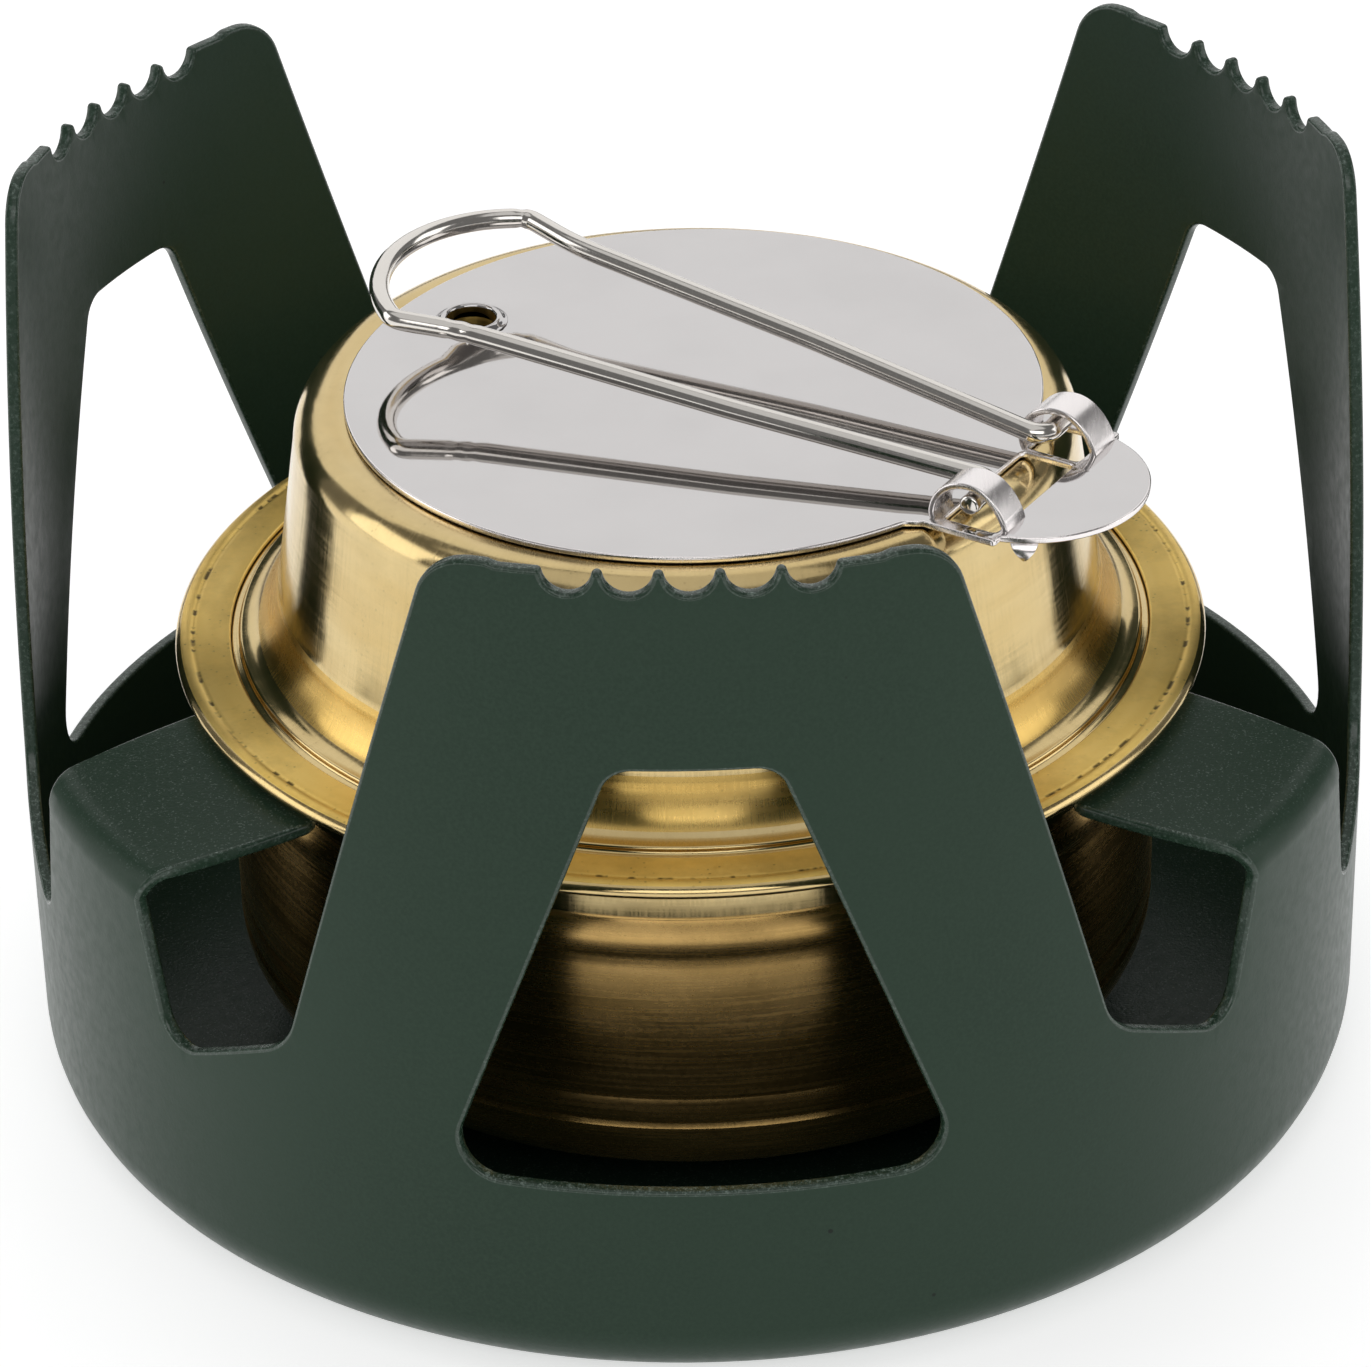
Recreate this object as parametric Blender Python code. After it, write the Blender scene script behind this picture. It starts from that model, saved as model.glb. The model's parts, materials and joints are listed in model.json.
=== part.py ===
"""Alcohol spirit stove: a pressed pot stand, a brass burner, its simmer ring and a wire handle.

Metres, +Z up. The origin is the centre of the stand's underside, and -Y is the front upright.
"""
import bmesh
import bpy
from math import asin, atan2, ceil, cos, pi, radians, sin, sqrt, tan
from mathutils import Euler, Vector
from mathutils.geometry import delaunay_2d_cdt

MM = 0.001
GAP = 0.3 * MM                      # clearance between neighbouring pieces

# Pot stand, pressed from one sheet
STAND_RADIUS = 50.0 * MM
STAND_HEIGHT = 66.0 * MM
STAND_SHEET = 1.0 * MM
STAND_CORNER = 5.0 * MM             # rounded edge of the base
STAND_COLUMNS = 72                  # facets round the wall
STAND_ROW = 6.5 * MM                # spacing of the points up the wall
UPRIGHTS = 3
UPRIGHT_HALF_TOP = 17.3 * MM        # half width of an upright at its top, along the wall
UPRIGHT_CORNER = 4.0 * MM
SCALLOPS = 5
SCALLOP_PITCH = 4.0 * MM
SCALLOP_RADIUS = 1.85 * MM
SCALLOP_DEPTH = 1.6 * MM
LOBE_INNER = 13.3 * MM              # where the low stretch beside the scallops starts
LOBE_STEP = 0.25 * MM
WINDOW_BOTTOM = 17.1 * MM
WINDOW_TOP = 50.9 * MM
WINDOW_HALF_TOP = 5.55 * MM
WINDOW_FLARE = 0.377
WINDOW_CORNERS = (3.0 * MM, 2.2 * MM)   # bottom, top

# Support tabs, bent inwards from the wall between the uprights
TAB_BEND_START = 29.45 * MM
TAB_BEND_RADIUS = 2.5 * MM
TAB_BEND_TURN = radians(87)
TAB_RUN = 11.2 * MM                 # straight length after the bend
TAB_HALF_WALL = 7.25 * MM           # half widths along the wall's own circle
TAB_HALF_TIP = 12.3 * MM
TAB_TIP_CORNER = 2.0 * MM
NOTCH_LOW = (10.0 * MM, 18.2 * MM, 2.5 * MM)    # from the tab's middle, height, corner radius
NOTCH_HIGH = (21.9 * MM, 23.8 * MM, 5.0 * MM)

# Burner
TURNED_SIDES = 48
SKIN = 0.6 * MM                     # brass sheet
CUP_RADIUS = 34.7 * MM
CUP_BASE = 6.0 * MM
CUP_CORNER = 5.5 * MM
FLANGE_TOP = 34.2 * MM
BEAD_CENTRE = (37.53 * MM, 33.6 * MM)
BEAD_RADIUS = 0.72 * MM
COLLAR_RADIUS = 27.0 * MM
COLLAR_TOP = 48.0 * MM
COLLAR_BRIM = 33.3 * MM             # top of the brim that the simmer ring rests on
MOUTH_RADIUS = 21.5 * MM
MOUTH_LIP = 37.5 * MM               # lower end of the threaded mouth
THREADS = 3
THREAD_PITCH = 1.8 * MM
THREAD_DEPTH = 0.35 * MM
THREAD_TOP = 45.0 * MM
JETS = 24
JET_RADIUS = 0.55 * MM
JET_HEIGHT = 44.4 * MM
SLEEVE_RADIUS = 23.0 * MM
SLEEVE_TOP = 44.0 * MM
FEED_NOTCHES = 6
FEED_RADIUS = 2.2 * MM
WICK_RADII = (23.3 * MM, 25.6 * MM)
WICK_TOP = 40.0 * MM

# Simmer ring
RING_TOP = 52.4 * MM
RING_SHOULDER = 2.4 * MM
RING_TOP_RADIUS = 28.6 * MM
RING_WAIST = (30.4 * MM, 38.2 * MM)     # radius and height of the crease above the brim
RING_LIP_RADIUS = 33.8 * MM
PORT_RADIUS = 15.5 * MM

# Simmer plate, in its own frame: x runs from the pivot through the disc to the ear
PLATE_AZIMUTH = radians(-33)
PLATE_CENTRE = (0.6 * MM, 0.0)
PLATE_SHEET = 0.5 * MM
PLATE_TOP = RING_TOP + GAP + PLATE_SHEET
DISC_RADIUS = 25.4 * MM
PIVOT_TO_DISC = 19.5 * MM
EAR_CENTRE = 27.9 * MM              # these four are counted from the disc's centre
EAR_RADIUS = 8.6 * MM
EAR_NECK = 9.1 * MM
EAR_NOTCH = 30.3 * MM
SLOT = (25.8 * MM, 30.0 * MM, 8.0 * MM)     # near edge, far edge, half length
CURL_SPAN = (24.1 * MM, 30.5 * MM)
CURL_HEIGHT = 2.7 * MM
CURL_SIDES = (5.1 * MM, 8.1 * MM)
CURL_SHEET = 0.5 * MM
EYELET_BORE = 1.85 * MM
EYELET_BARREL = 2.15 * MM
EYELET_RIM = 2.65 * MM
EYELET_RIM_SHEET = 0.35 * MM

# Wire handle, in its own frame: x runs from the hinge axis to the finger end
WIRE_RADIUS = 0.75 * MM
HINGE_FROM_DISC = 27.2 * MM
HINGE_RISE = 1.1 * MM               # hinge axis above the plate
HANDLE_TILT = radians(5)
HANDLE_SKEW = radians(2.0)          # the wire lies a little askew in its loose curls
WIRE_END = 7.6 * MM
LEG_HALF = 3.6 * MM
LEG_BEND = 1.2 * MM
LEG_BOW = (20.0 * MM, 6.0 * MM)       # the legs bow outwards a little
PINCH = (41.2 * MM, 7.8 * MM)
SHOULDER = (46.3 * MM, 9.3 * MM)
FINGER_END = 51.5 * MM

MATERIALS = {
    "stand_green": ((0.035, 0.062, 0.045, 1.0), 0.42, 0.6),
    "brass_spun": ((0.78, 0.60, 0.27, 1.0), 0.22, 1.0),
    "brass_dull": ((0.60, 0.45, 0.20, 1.0), 0.35, 1.0),
    "wick_fibre": ((0.82, 0.78, 0.68, 1.0), 0.95, 0.0),
    "steel_polished": ((0.72, 0.72, 0.73, 1.0), 0.12, 1.0),
    "steel_wire": ((0.78, 0.77, 0.75, 1.0), 0.18, 1.0),
}


def clear_scene():
    for old in list(bpy.data.objects):
        bpy.data.objects.remove(old, do_unlink=True)


def material(name):
    colour, roughness, metallic = MATERIALS[name]
    made = bpy.data.materials.new(name)
    made.use_nodes = True
    shader = made.node_tree.nodes["Principled BSDF"]
    shader.inputs["Base Color"].default_value = colour
    shader.inputs["Roughness"].default_value = roughness
    shader.inputs["Metallic"].default_value = metallic
    made.diffuse_color = colour
    return made


def finish(name, bm, material_name, parent=None, crease=35):
    """Close a bmesh into a named object with outward faces and smooth round sides."""
    bmesh.ops.remove_doubles(bm, verts=bm.verts, dist=0.001 * MM)
    bmesh.ops.recalc_face_normals(bm, faces=bm.faces)
    mesh = bpy.data.meshes.new(name)
    bm.to_mesh(mesh)
    bm.free()
    mesh.shade_smooth()
    mesh.set_sharp_from_angle(angle=radians(crease))
    made = bpy.data.objects.new(name, mesh)
    made.data.materials.append(material(material_name))
    bpy.context.collection.objects.link(made)
    made.parent = parent
    return made


def empty(name, location=(0, 0, 0), rotation=(0, 0, 0), parent=None):
    made = bpy.data.objects.new(name, None)
    made.location = location
    made.rotation_euler = Euler(rotation)
    made.parent = parent
    bpy.context.collection.objects.link(made)
    return made


def boolean(target, cutter, operation="DIFFERENCE"):
    """Join or cut with a guide object, which stays out of the model itself."""
    cutter.display_type = "WIRE"
    cutter.hide_render = True
    modifier = target.modifiers.new(cutter.name, "BOOLEAN")
    modifier.object = cutter
    modifier.operation = operation
    modifier.solver = "EXACT"


# Outlines ------------------------------------------------------------------------------------

def arc(centre, radius, start, end, steps):
    """Points of a circular arc, ends included; angles in radians."""
    angles = [start + (end - start) * i / steps for i in range(steps + 1)]
    return [(centre[0] + radius * cos(a), centre[1] + radius * sin(a)) for a in angles]


def fillet(before, corner, after, radius, steps=4):
    """Arc that rounds the corner between two straight edges."""
    to_before = (Vector(before) - Vector(corner)).normalized()
    to_after = (Vector(after) - Vector(corner)).normalized()
    half = to_before.angle(to_after) / 2
    centre = Vector(corner) + (to_before + to_after).normalized() * (radius / sin(half))
    first = Vector(corner) + to_before * (radius / tan(half)) - centre
    last = Vector(corner) + to_after * (radius / tan(half)) - centre
    start = atan2(first.y, first.x)
    turn = (atan2(last.y, last.x) - start + pi) % (2 * pi) - pi
    return arc(centre, radius, start, start + turn, steps)


def rounded(corners, steps=4):
    """Closed outline from (x, y, radius) corners."""
    points = []
    count = len(corners)
    for i, (x, y, radius) in enumerate(corners):
        before = corners[i - 1][:2]
        after = corners[(i + 1) % count][:2]
        points += fillet(before, (x, y), after, radius, steps)
    return points


def split_long(points, step, closed=True):
    """Add points so that no edge of an outline is longer than step along x."""
    result = []
    pairs = list(zip(points, points[1:] + points[:1]))
    if not closed:
        pairs = pairs[:-1]
    for (x0, y0), (x1, y1) in pairs:
        parts = max(1, ceil(abs(x1 - x0) / step - 0.01))
        result += [(x0 + (x1 - x0) * i / parts, y0 + (y1 - y0) * i / parts) for i in range(parts)]
    if not closed:
        result.append(points[-1])
    return result


def inside(point, outline):
    x, y = point
    hit = False
    for (x0, y0), (x1, y1) in zip(outline, outline[1:] + outline[:1]):
        if (y0 > y) != (y1 > y) and x < (x1 - x0) * (y - y0) / (y1 - y0) + x0:
            hit = not hit
    return hit


def distance_to(point, outline):
    nearest = 1.0
    here = Vector(point)
    for start, end in zip(outline, outline[1:] + outline[:1]):
        edge = Vector(end) - Vector(start)
        along = max(0.0, min(1.0, (here - Vector(start)).dot(edge) / edge.length_squared))
        nearest = min(nearest, (here - Vector(start) - edge * along).length)
    return nearest


def pattern(outline, holes=(), grid=(), margin=0.0):
    """Triangulate a flat pattern: returns its points, triangles and cut edges."""
    loops = [outline] + list(holes)
    points = [Vector(p) for loop in loops for p in loop]
    edges = []
    start = 0
    for loop in loops:
        edges += [(start + i, start + (i + 1) % len(loop)) for i in range(len(loop))]
        start += len(loop)
    points += [Vector(p) for p in grid if inside(p, outline)
               and not any(inside(p, hole) for hole in holes)
               and min(distance_to(p, loop) for loop in loops) > margin]
    points, _, faces, _, _, _ = delaunay_2d_cdt(points, edges, [], 1, 1e-9)
    kept = []
    for face in faces:
        middle = sum((points[i] for i in face), Vector((0, 0))) / len(face)
        if inside(middle, outline) and not any(inside(middle, hole) for hole in holes):
            kept.append(tuple(face))
    used = {}
    for face in kept:
        for a, b in zip(face, face[1:] + face[:1]):
            used[frozenset((a, b))] = used.get(frozenset((a, b)), 0) + 1
    cut = [tuple(edge) for edge, count in used.items() if count == 1]
    return points, kept, cut


def add_sheet(bm, flat, surface, thickness, open_edge=lambda a, b: False):
    """Raise a flat pattern into a sheet; surface maps (x, y, depth) to its place."""
    points, faces, cut = flat
    front = [bm.verts.new(surface(p.x, p.y, 0.0)) for p in points]
    back = [bm.verts.new(surface(p.x, p.y, thickness)) for p in points]
    for face in faces:
        bm.faces.new([front[i] for i in face])
        bm.faces.new([back[i] for i in reversed(face)])
    for a, b in cut:
        if not open_edge(points[a], points[b]):
            bm.faces.new([front[a], front[b], back[b], back[a]])


def turned(name, profile, material_name, parent, sides=TURNED_SIDES, crease=35):
    """Solid of revolution of a closed (radius, height) profile about Z."""
    bm = bmesh.new()
    rings = []
    for radius, height in profile:
        if radius < 0.001 * MM:
            rings.append([bm.verts.new((0, 0, height))] * sides)
            continue
        angles = [2 * pi * i / sides for i in range(sides)]
        rings.append([bm.verts.new((radius * cos(a), radius * sin(a), height)) for a in angles])
    for low, high in zip(rings, rings[1:] + rings[:1]):
        for i in range(sides):
            j = (i + 1) % sides
            corners = list(dict.fromkeys((low[i], low[j], high[j], high[i])))
            if len(corners) > 2:
                bm.faces.new(corners)
    return finish(name, bm, material_name, parent, crease)


def radial_pegs(name, count, radius, height, span, sides, turn=0.0):
    """Ring of pegs that point at the Z axis, for cutting a row of holes."""
    bm = bmesh.new()
    for k in range(count):
        azimuth = 2 * pi * k / count + turn
        out = Vector((cos(azimuth), sin(azimuth), 0))
        side = Vector((-sin(azimuth), cos(azimuth), 0))
        rings = []
        for reach in span:
            ring = []
            for i in range(sides):
                a = 2 * pi * (i + 0.5) / sides
                place = out * reach + side * radius * cos(a) + Vector((0, 0, height + radius * sin(a)))
                ring.append(bm.verts.new(place))
            rings.append(ring)
        bm.faces.new(rings[0])
        bm.faces.new(rings[1])
        for i in range(sides):
            j = (i + 1) % sides
            bm.faces.new((rings[0][i], rings[0][j], rings[1][j], rings[1][i]))
    return finish(name, bm, "brass_dull")


def upright_peg(name, radius, low, high, sides, parent=None, material_name="brass_dull"):
    """Vertical round peg on its parent's axis, for cutting a hole."""
    profile = [(0, low), (radius, low), (radius, high), (0, high)]
    return turned(name, profile, material_name, parent, sides)


# Pot stand -----------------------------------------------------------------------------------

SECTOR = 2 * pi / UPRIGHTS
SECTOR_HALF = STAND_RADIUS * SECTOR / 2             # half a sector, along the wall
BEND_LENGTH = TAB_BEND_RADIUS * TAB_BEND_TURN
TAB_END = TAB_BEND_START + BEND_LENGTH + TAB_RUN    # length up the sheet to the tab's tip


def tab_edge():
    """Side of a tab, counted from the tab's middle, from its tip down to the wall."""
    bend = [TAB_BEND_START + BEND_LENGTH * i / 4 for i in range(5)]
    tip = TAB_END
    top = bend[-1]
    straight = [tip - (tip - top) * i / 2 for i in range(1, 2)]
    heights = straight + bend[::-1]
    flare = (TAB_HALF_TIP - TAB_HALF_WALL) / (tip - TAB_BEND_START)
    return [(TAB_HALF_WALL + flare * (v - TAB_BEND_START), v) for v in heights]


def half_outline():
    """Right half of one upright's sector, from its middle to the middle of the next tab."""
    scallop_half = sqrt(2 * SCALLOP_RADIUS * SCALLOP_DEPTH - SCALLOP_DEPTH ** 2)
    low_top = STAND_HEIGHT - LOBE_STEP
    centre_height = low_top - SCALLOP_DEPTH + SCALLOP_RADIUS
    drop = asin(scallop_half / SCALLOP_RADIUS)
    points = arc((0, centre_height), SCALLOP_RADIUS, -pi / 2, -pi / 2 + drop, 3)
    for k in range(1, SCALLOPS // 2 + 1):
        points += arc((k * SCALLOP_PITCH, centre_height), SCALLOP_RADIUS, -pi / 2 - drop, -pi / 2 + drop, 6)
    points += [(LOBE_INNER - 2 * LOBE_STEP, low_top), (LOBE_INNER, STAND_HEIGHT)]
    side_top = (UPRIGHT_HALF_TOP, STAND_HEIGHT)
    notch_high = (SECTOR_HALF - NOTCH_HIGH[0], NOTCH_HIGH[1])
    notch_low = (SECTOR_HALF - NOTCH_LOW[0], NOTCH_LOW[1])
    tab_foot = (SECTOR_HALF - TAB_HALF_WALL, TAB_BEND_START)
    points += fillet(points[-1], side_top, notch_high, UPRIGHT_CORNER, 4)
    points += fillet(side_top, notch_high, notch_low, NOTCH_HIGH[2], 4)
    points += fillet(notch_high, notch_low, tab_foot, NOTCH_LOW[2], 4)
    points += [(SECTOR_HALF - s, v) for s, v in reversed(tab_edge())]
    tip = (SECTOR_HALF - TAB_HALF_TIP, TAB_END)
    points += fillet(points[-1], tip, (SECTOR_HALF, TAB_END), TAB_TIP_CORNER, 3)
    return points


def sector_outline(step):
    """One upright with half a tab on each side, down to the top of the base's rounded edge."""
    seam = [TAB_END, TAB_END - TAB_RUN / 2]
    seam += [TAB_BEND_START + BEND_LENGTH * i / 4 for i in range(4, -1, -1)]
    seam += [TAB_BEND_START * 0.6]
    right = split_long(half_outline(), step, closed=False)
    right += [(SECTOR_HALF, v) for v in seam]
    columns = STAND_COLUMNS // UPRIGHTS
    base = [(SECTOR_HALF - 2 * SECTOR_HALF * i / columns, STAND_CORNER) for i in range(columns + 1)]
    left = [(-s, v) for s, v in reversed(right[1:])]
    return right + base + left


def window_outline(step):
    half_low = WINDOW_HALF_TOP + WINDOW_FLARE * (WINDOW_TOP - WINDOW_BOTTOM)
    low, high = WINDOW_CORNERS
    corners = [(-half_low, WINDOW_BOTTOM, low), (half_low, WINDOW_BOTTOM, low),
               (WINDOW_HALF_TOP, WINDOW_TOP, high), (-WINDOW_HALF_TOP, WINDOW_TOP, high)]
    return split_long(rounded(corners), step)


def stand_profile(s, v, depth):
    """Radius and height of the sheet at s along the wall and v up the sheet."""
    on_tab = abs(s) > SECTOR_HALF - NOTCH_HIGH[0]
    if not on_tab or v <= TAB_BEND_START:
        return STAND_RADIUS - depth, v
    turn = min((v - TAB_BEND_START) / TAB_BEND_RADIUS, TAB_BEND_TURN)
    run = max(v - TAB_BEND_START - BEND_LENGTH, 0.0)
    around = TAB_BEND_RADIUS - depth
    radius = STAND_RADIUS - TAB_BEND_RADIUS + around * cos(turn) - run * sin(turn)
    return radius, TAB_BEND_START + around * sin(turn) + run * cos(turn)


def add_base(bm, depth):
    """Rounded edge and flat floor of the stand, as rings that narrow to the middle."""
    steps = 3
    centre_radius = STAND_RADIUS - STAND_CORNER
    rings = []
    for i in range(steps + 1):
        a = pi / 2 * i / steps
        radius = centre_radius + (STAND_CORNER - depth) * cos(a)
        height = STAND_CORNER - (STAND_CORNER - depth) * sin(a)
        angles = [2 * pi * k / STAND_COLUMNS - pi / 2 for k in range(STAND_COLUMNS)]
        rings.append([bm.verts.new((radius * cos(t), radius * sin(t), height)) for t in angles])
    for low, high in zip(rings, rings[1:]):
        for i in range(STAND_COLUMNS):
            j = (i + 1) % STAND_COLUMNS
            bm.faces.new((low[i], low[j], high[j], high[i]))
    bm.faces.new(rings[-1])


def make_stand():
    step = 2 * SECTOR_HALF * UPRIGHTS / STAND_COLUMNS
    columns = STAND_COLUMNS // UPRIGHTS
    rows = [STAND_CORNER + STAND_ROW * i for i in range(1, 10)]
    bend_rows = [TAB_BEND_START + BEND_LENGTH * i / 4 for i in range(5)] + [TAB_END - TAB_RUN / 2]
    grid = []
    for i in range(1, columns):
        s = -SECTOR_HALF + step * i
        on_tab = abs(s) > SECTOR_HALF - NOTCH_HIGH[0]
        grid += [(s, v) for v in rows if not on_tab or v < TAB_BEND_START - step / 2]
        grid += [(s, v) for v in bend_rows if on_tab]
    flat = pattern(sector_outline(step), [window_outline(step)], grid, margin=0.5 * MM)

    def joined_on(a, b):
        on_seam = abs(abs(a.x) - SECTOR_HALF) < 1e-7 and abs(abs(b.x) - SECTOR_HALF) < 1e-7
        on_base = abs(a.y - STAND_CORNER) < 1e-7 and abs(b.y - STAND_CORNER) < 1e-7
        return on_seam or on_base

    bm = bmesh.new()
    for k in range(UPRIGHTS):
        middle = SECTOR * k - pi / 2

        def surface(s, v, depth):
            radius, height = stand_profile(s, v, depth)
            angle = middle + s / STAND_RADIUS
            return (radius * cos(angle), radius * sin(angle), height)

        add_sheet(bm, flat, surface, STAND_SHEET, joined_on)
    add_base(bm, 0.0)
    add_base(bm, STAND_SHEET)
    return finish("pot_stand", bm, "stand_green")


# Burner --------------------------------------------------------------------------------------

def make_cup(parent):
    """Fuel cup: a drawn bowl whose top rim is a flat flange with a rolled bead."""
    centre = (CUP_RADIUS - CUP_CORNER, CUP_BASE + CUP_CORNER)
    inner = CUP_RADIUS - SKIN
    under = FLANGE_TOP - SKIN
    profile = [(0, CUP_BASE)]
    profile += arc(centre, CUP_CORNER, -pi / 2, 0, 3)
    profile += [(CUP_RADIUS, under - 0.3 * MM), (CUP_RADIUS + 0.3 * MM, under)]
    profile += arc(BEAD_CENTRE, BEAD_RADIUS, -pi * 0.9, pi * 0.72, 6)
    profile += [(inner + 0.5 * MM, FLANGE_TOP), (inner, FLANGE_TOP - 0.5 * MM)]
    profile += arc(centre, CUP_CORNER - SKIN, 0, -pi / 2, 3)
    profile += [(0, CUP_BASE + SKIN)]
    return turned("burner_cup", profile, "brass_spun", parent)


def thread_profile():
    """Rounded ridges down the inside of the mouth, top to bottom."""
    points = []
    for k in range(THREADS):
        top = THREAD_TOP - k * THREAD_PITCH
        points += [(MOUTH_RADIUS, top), (MOUTH_RADIUS - THREAD_DEPTH, top - THREAD_PITCH / 2)]
    points.append((MOUTH_RADIUS, THREAD_TOP - THREADS * THREAD_PITCH))
    return points


def make_collar(parent):
    """Upper shell: brim in the cup's mouth, jet wall, rounded top and threaded filling mouth."""
    bend = 1.8 * MM
    outer_bend = (COLLAR_RADIUS - bend, COLLAR_TOP - bend)
    inner_bend = (MOUTH_RADIUS + bend, COLLAR_TOP - bend)
    brim = CUP_RADIUS - SKIN - GAP
    foot = COLLAR_BRIM - SKIN
    profile = [(brim, foot), (brim, COLLAR_BRIM), (COLLAR_RADIUS + SKIN, COLLAR_BRIM)]
    profile += [(COLLAR_RADIUS, COLLAR_BRIM + SKIN)]
    profile += arc(outer_bend, bend, 0, pi / 2, 3)
    profile += arc(inner_bend, bend, pi / 2, pi, 2)
    profile += thread_profile()
    profile += [(MOUTH_RADIUS, MOUTH_LIP), (MOUTH_RADIUS + SKIN, MOUTH_LIP)]
    profile += arc(inner_bend, bend - SKIN, pi, pi / 2, 2)
    profile += arc(outer_bend, bend - SKIN, pi / 2, 0, 2)
    profile += [(COLLAR_RADIUS - SKIN, foot)]
    collar = turned("burner_collar", profile, "brass_spun", parent)
    jets = radial_pegs("jet_cutter", JETS, JET_RADIUS, JET_HEIGHT,
                       (COLLAR_RADIUS - 4 * SKIN, COLLAR_RADIUS + 2 * SKIN), 6, pi / TURNED_SIDES)
    boolean(collar, jets)
    return collar


def make_sleeve(parent):
    """Inner wall of the vapour chamber, notched at its foot so that fuel can pass."""
    foot = CUP_BASE + SKIN + GAP
    inner = SLEEVE_RADIUS - SKIN
    profile = [(inner, foot), (SLEEVE_RADIUS, foot), (SLEEVE_RADIUS, SLEEVE_TOP), (inner, SLEEVE_TOP)]
    sleeve = turned("vapour_sleeve", profile, "brass_dull", parent)
    notches = radial_pegs("feed_cutter", FEED_NOTCHES, FEED_RADIUS, foot,
                          (inner - 2 * SKIN, SLEEVE_RADIUS + 2 * SKIN), 8, pi / TURNED_SIDES)
    boolean(sleeve, notches)
    return sleeve


def make_wick(parent):
    inner, outer = WICK_RADII
    foot = CUP_BASE + SKIN + GAP
    profile = [(inner, foot), (outer, foot), (outer, WICK_TOP), (inner, WICK_TOP)]
    return turned("wick_band", profile, "wick_fibre", parent)


def brim_profile():
    """Outer face of the ring below its crease, a hollow curve out to the lip."""
    waist_radius, waist = RING_WAIST
    out = RING_LIP_RADIUS - waist_radius
    down = waist - (COLLAR_BRIM + GAP + SKIN)
    return [(waist_radius + out * (1 - cos(a)), waist - down * sin(a))
            for a in (pi / 2 * i / 4 for i in range(1, 5))]


def make_ring(parent):
    """Simmer ring: flat top round the flame port, tapered wall, and brim in the flange's recess."""
    waist_radius, waist = RING_WAIST
    shoulder = (RING_TOP_RADIUS - RING_SHOULDER, RING_TOP - RING_SHOULDER)
    lip = 1.4 * MM
    inner_top = RING_TOP - SKIN
    brim = brim_profile()
    profile = [(PORT_RADIUS + SKIN, inner_top - lip), (PORT_RADIUS, inner_top - lip)]
    profile += [(PORT_RADIUS, RING_TOP - SKIN), (PORT_RADIUS + SKIN, RING_TOP)]
    profile += arc(shoulder, RING_SHOULDER, pi / 2, 0, 3)
    profile += [(waist_radius, waist)] + brim
    profile += [(RING_LIP_RADIUS, COLLAR_BRIM + GAP)]
    profile += [(r - SKIN * 0.9, z - SKIN * 0.25) for r, z in reversed(brim[:-1])]
    profile += [(waist_radius - SKIN, waist)]
    profile += arc(shoulder, RING_SHOULDER - SKIN, 0, pi / 2, 3)
    profile += [(PORT_RADIUS + SKIN, inner_top)]
    ring = turned("simmer_ring", profile, "brass_spun", parent)
    return ring


# Simmer plate, eyelet and handle ---------------------------------------------------------------

def plate_outline():
    """Disc with a round ear, seen from above; x is counted from the pivot."""
    neck = sqrt(DISC_RADIUS ** 2 - EAR_NECK ** 2)
    join = atan2(EAR_NECK, neck)
    disc = arc((PIVOT_TO_DISC, 0), DISC_RADIUS, join, 2 * pi - join, 44)
    reach = EAR_NOTCH - EAR_CENTRE
    notch_half = sqrt(EAR_RADIUS ** 2 - reach ** 2)
    turn = atan2(notch_half, reach)
    ear = arc((PIVOT_TO_DISC + EAR_CENTRE, 0), EAR_RADIUS, -turn, turn, 14)
    side = PIVOT_TO_DISC + EAR_NOTCH
    return disc + [(side, -EAR_NECK)] + ear + [(side, EAR_NECK)]


def plate_slot():
    near, far, half = SLOT
    x0 = PIVOT_TO_DISC + near
    x1 = PIVOT_TO_DISC + far
    return [(x0, -half), (x1, -half), (x1, half), (x0, half)]


def add_curl(name, side, parent):
    """Strip that arches over the wire's end, with both feet sunk in the plate."""
    first, last = CURL_SPAN
    middle = PIVOT_TO_DISC + (first + last) / 2
    half = (last - first) / 2
    sunk = PLATE_SHEET / 2
    bm = bmesh.new()
    steps = 8
    rows = []
    for i in range(steps + 1):
        a = pi * i / steps
        outer = (middle - half * cos(a), (CURL_HEIGHT + sunk) * sin(a) - sunk)
        inner = (middle - (half - CURL_SHEET) * cos(a), (CURL_HEIGHT + sunk - CURL_SHEET) * sin(a) - sunk)
        row = [bm.verts.new((x, side * y, z)) for x, z in (outer, inner) for y in CURL_SIDES]
        rows.append(row)
    for a, b in zip(rows, rows[1:]):
        for i, j in ((0, 1), (1, 3), (3, 2), (2, 0)):
            bm.faces.new((a[i], a[j], b[j], b[i]))
    for row in (rows[0], rows[-1]):
        bm.faces.new((row[0], row[1], row[3], row[2]))
    return finish(name, bm, "steel_polished", parent)


def make_plate(parent):
    """Steel simmer plate; its parent stands on the pivot, at the plate's upper face."""
    hole = arc((0, 0), EYELET_BARREL + GAP, 0, 2 * pi, 16)[:-1]
    outline = plate_outline()
    flat = pattern(outline, [plate_slot(), hole])
    bm = bmesh.new()
    add_sheet(bm, flat, lambda x, y, depth: (x, y, -depth), PLATE_SHEET)
    plate = finish("simmer_plate", bm, "steel_polished", parent)
    for name, side in (("curl_left", 1), ("curl_right", -1)):
        boolean(plate, add_curl(name, side, parent), "UNION")
    return plate


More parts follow.
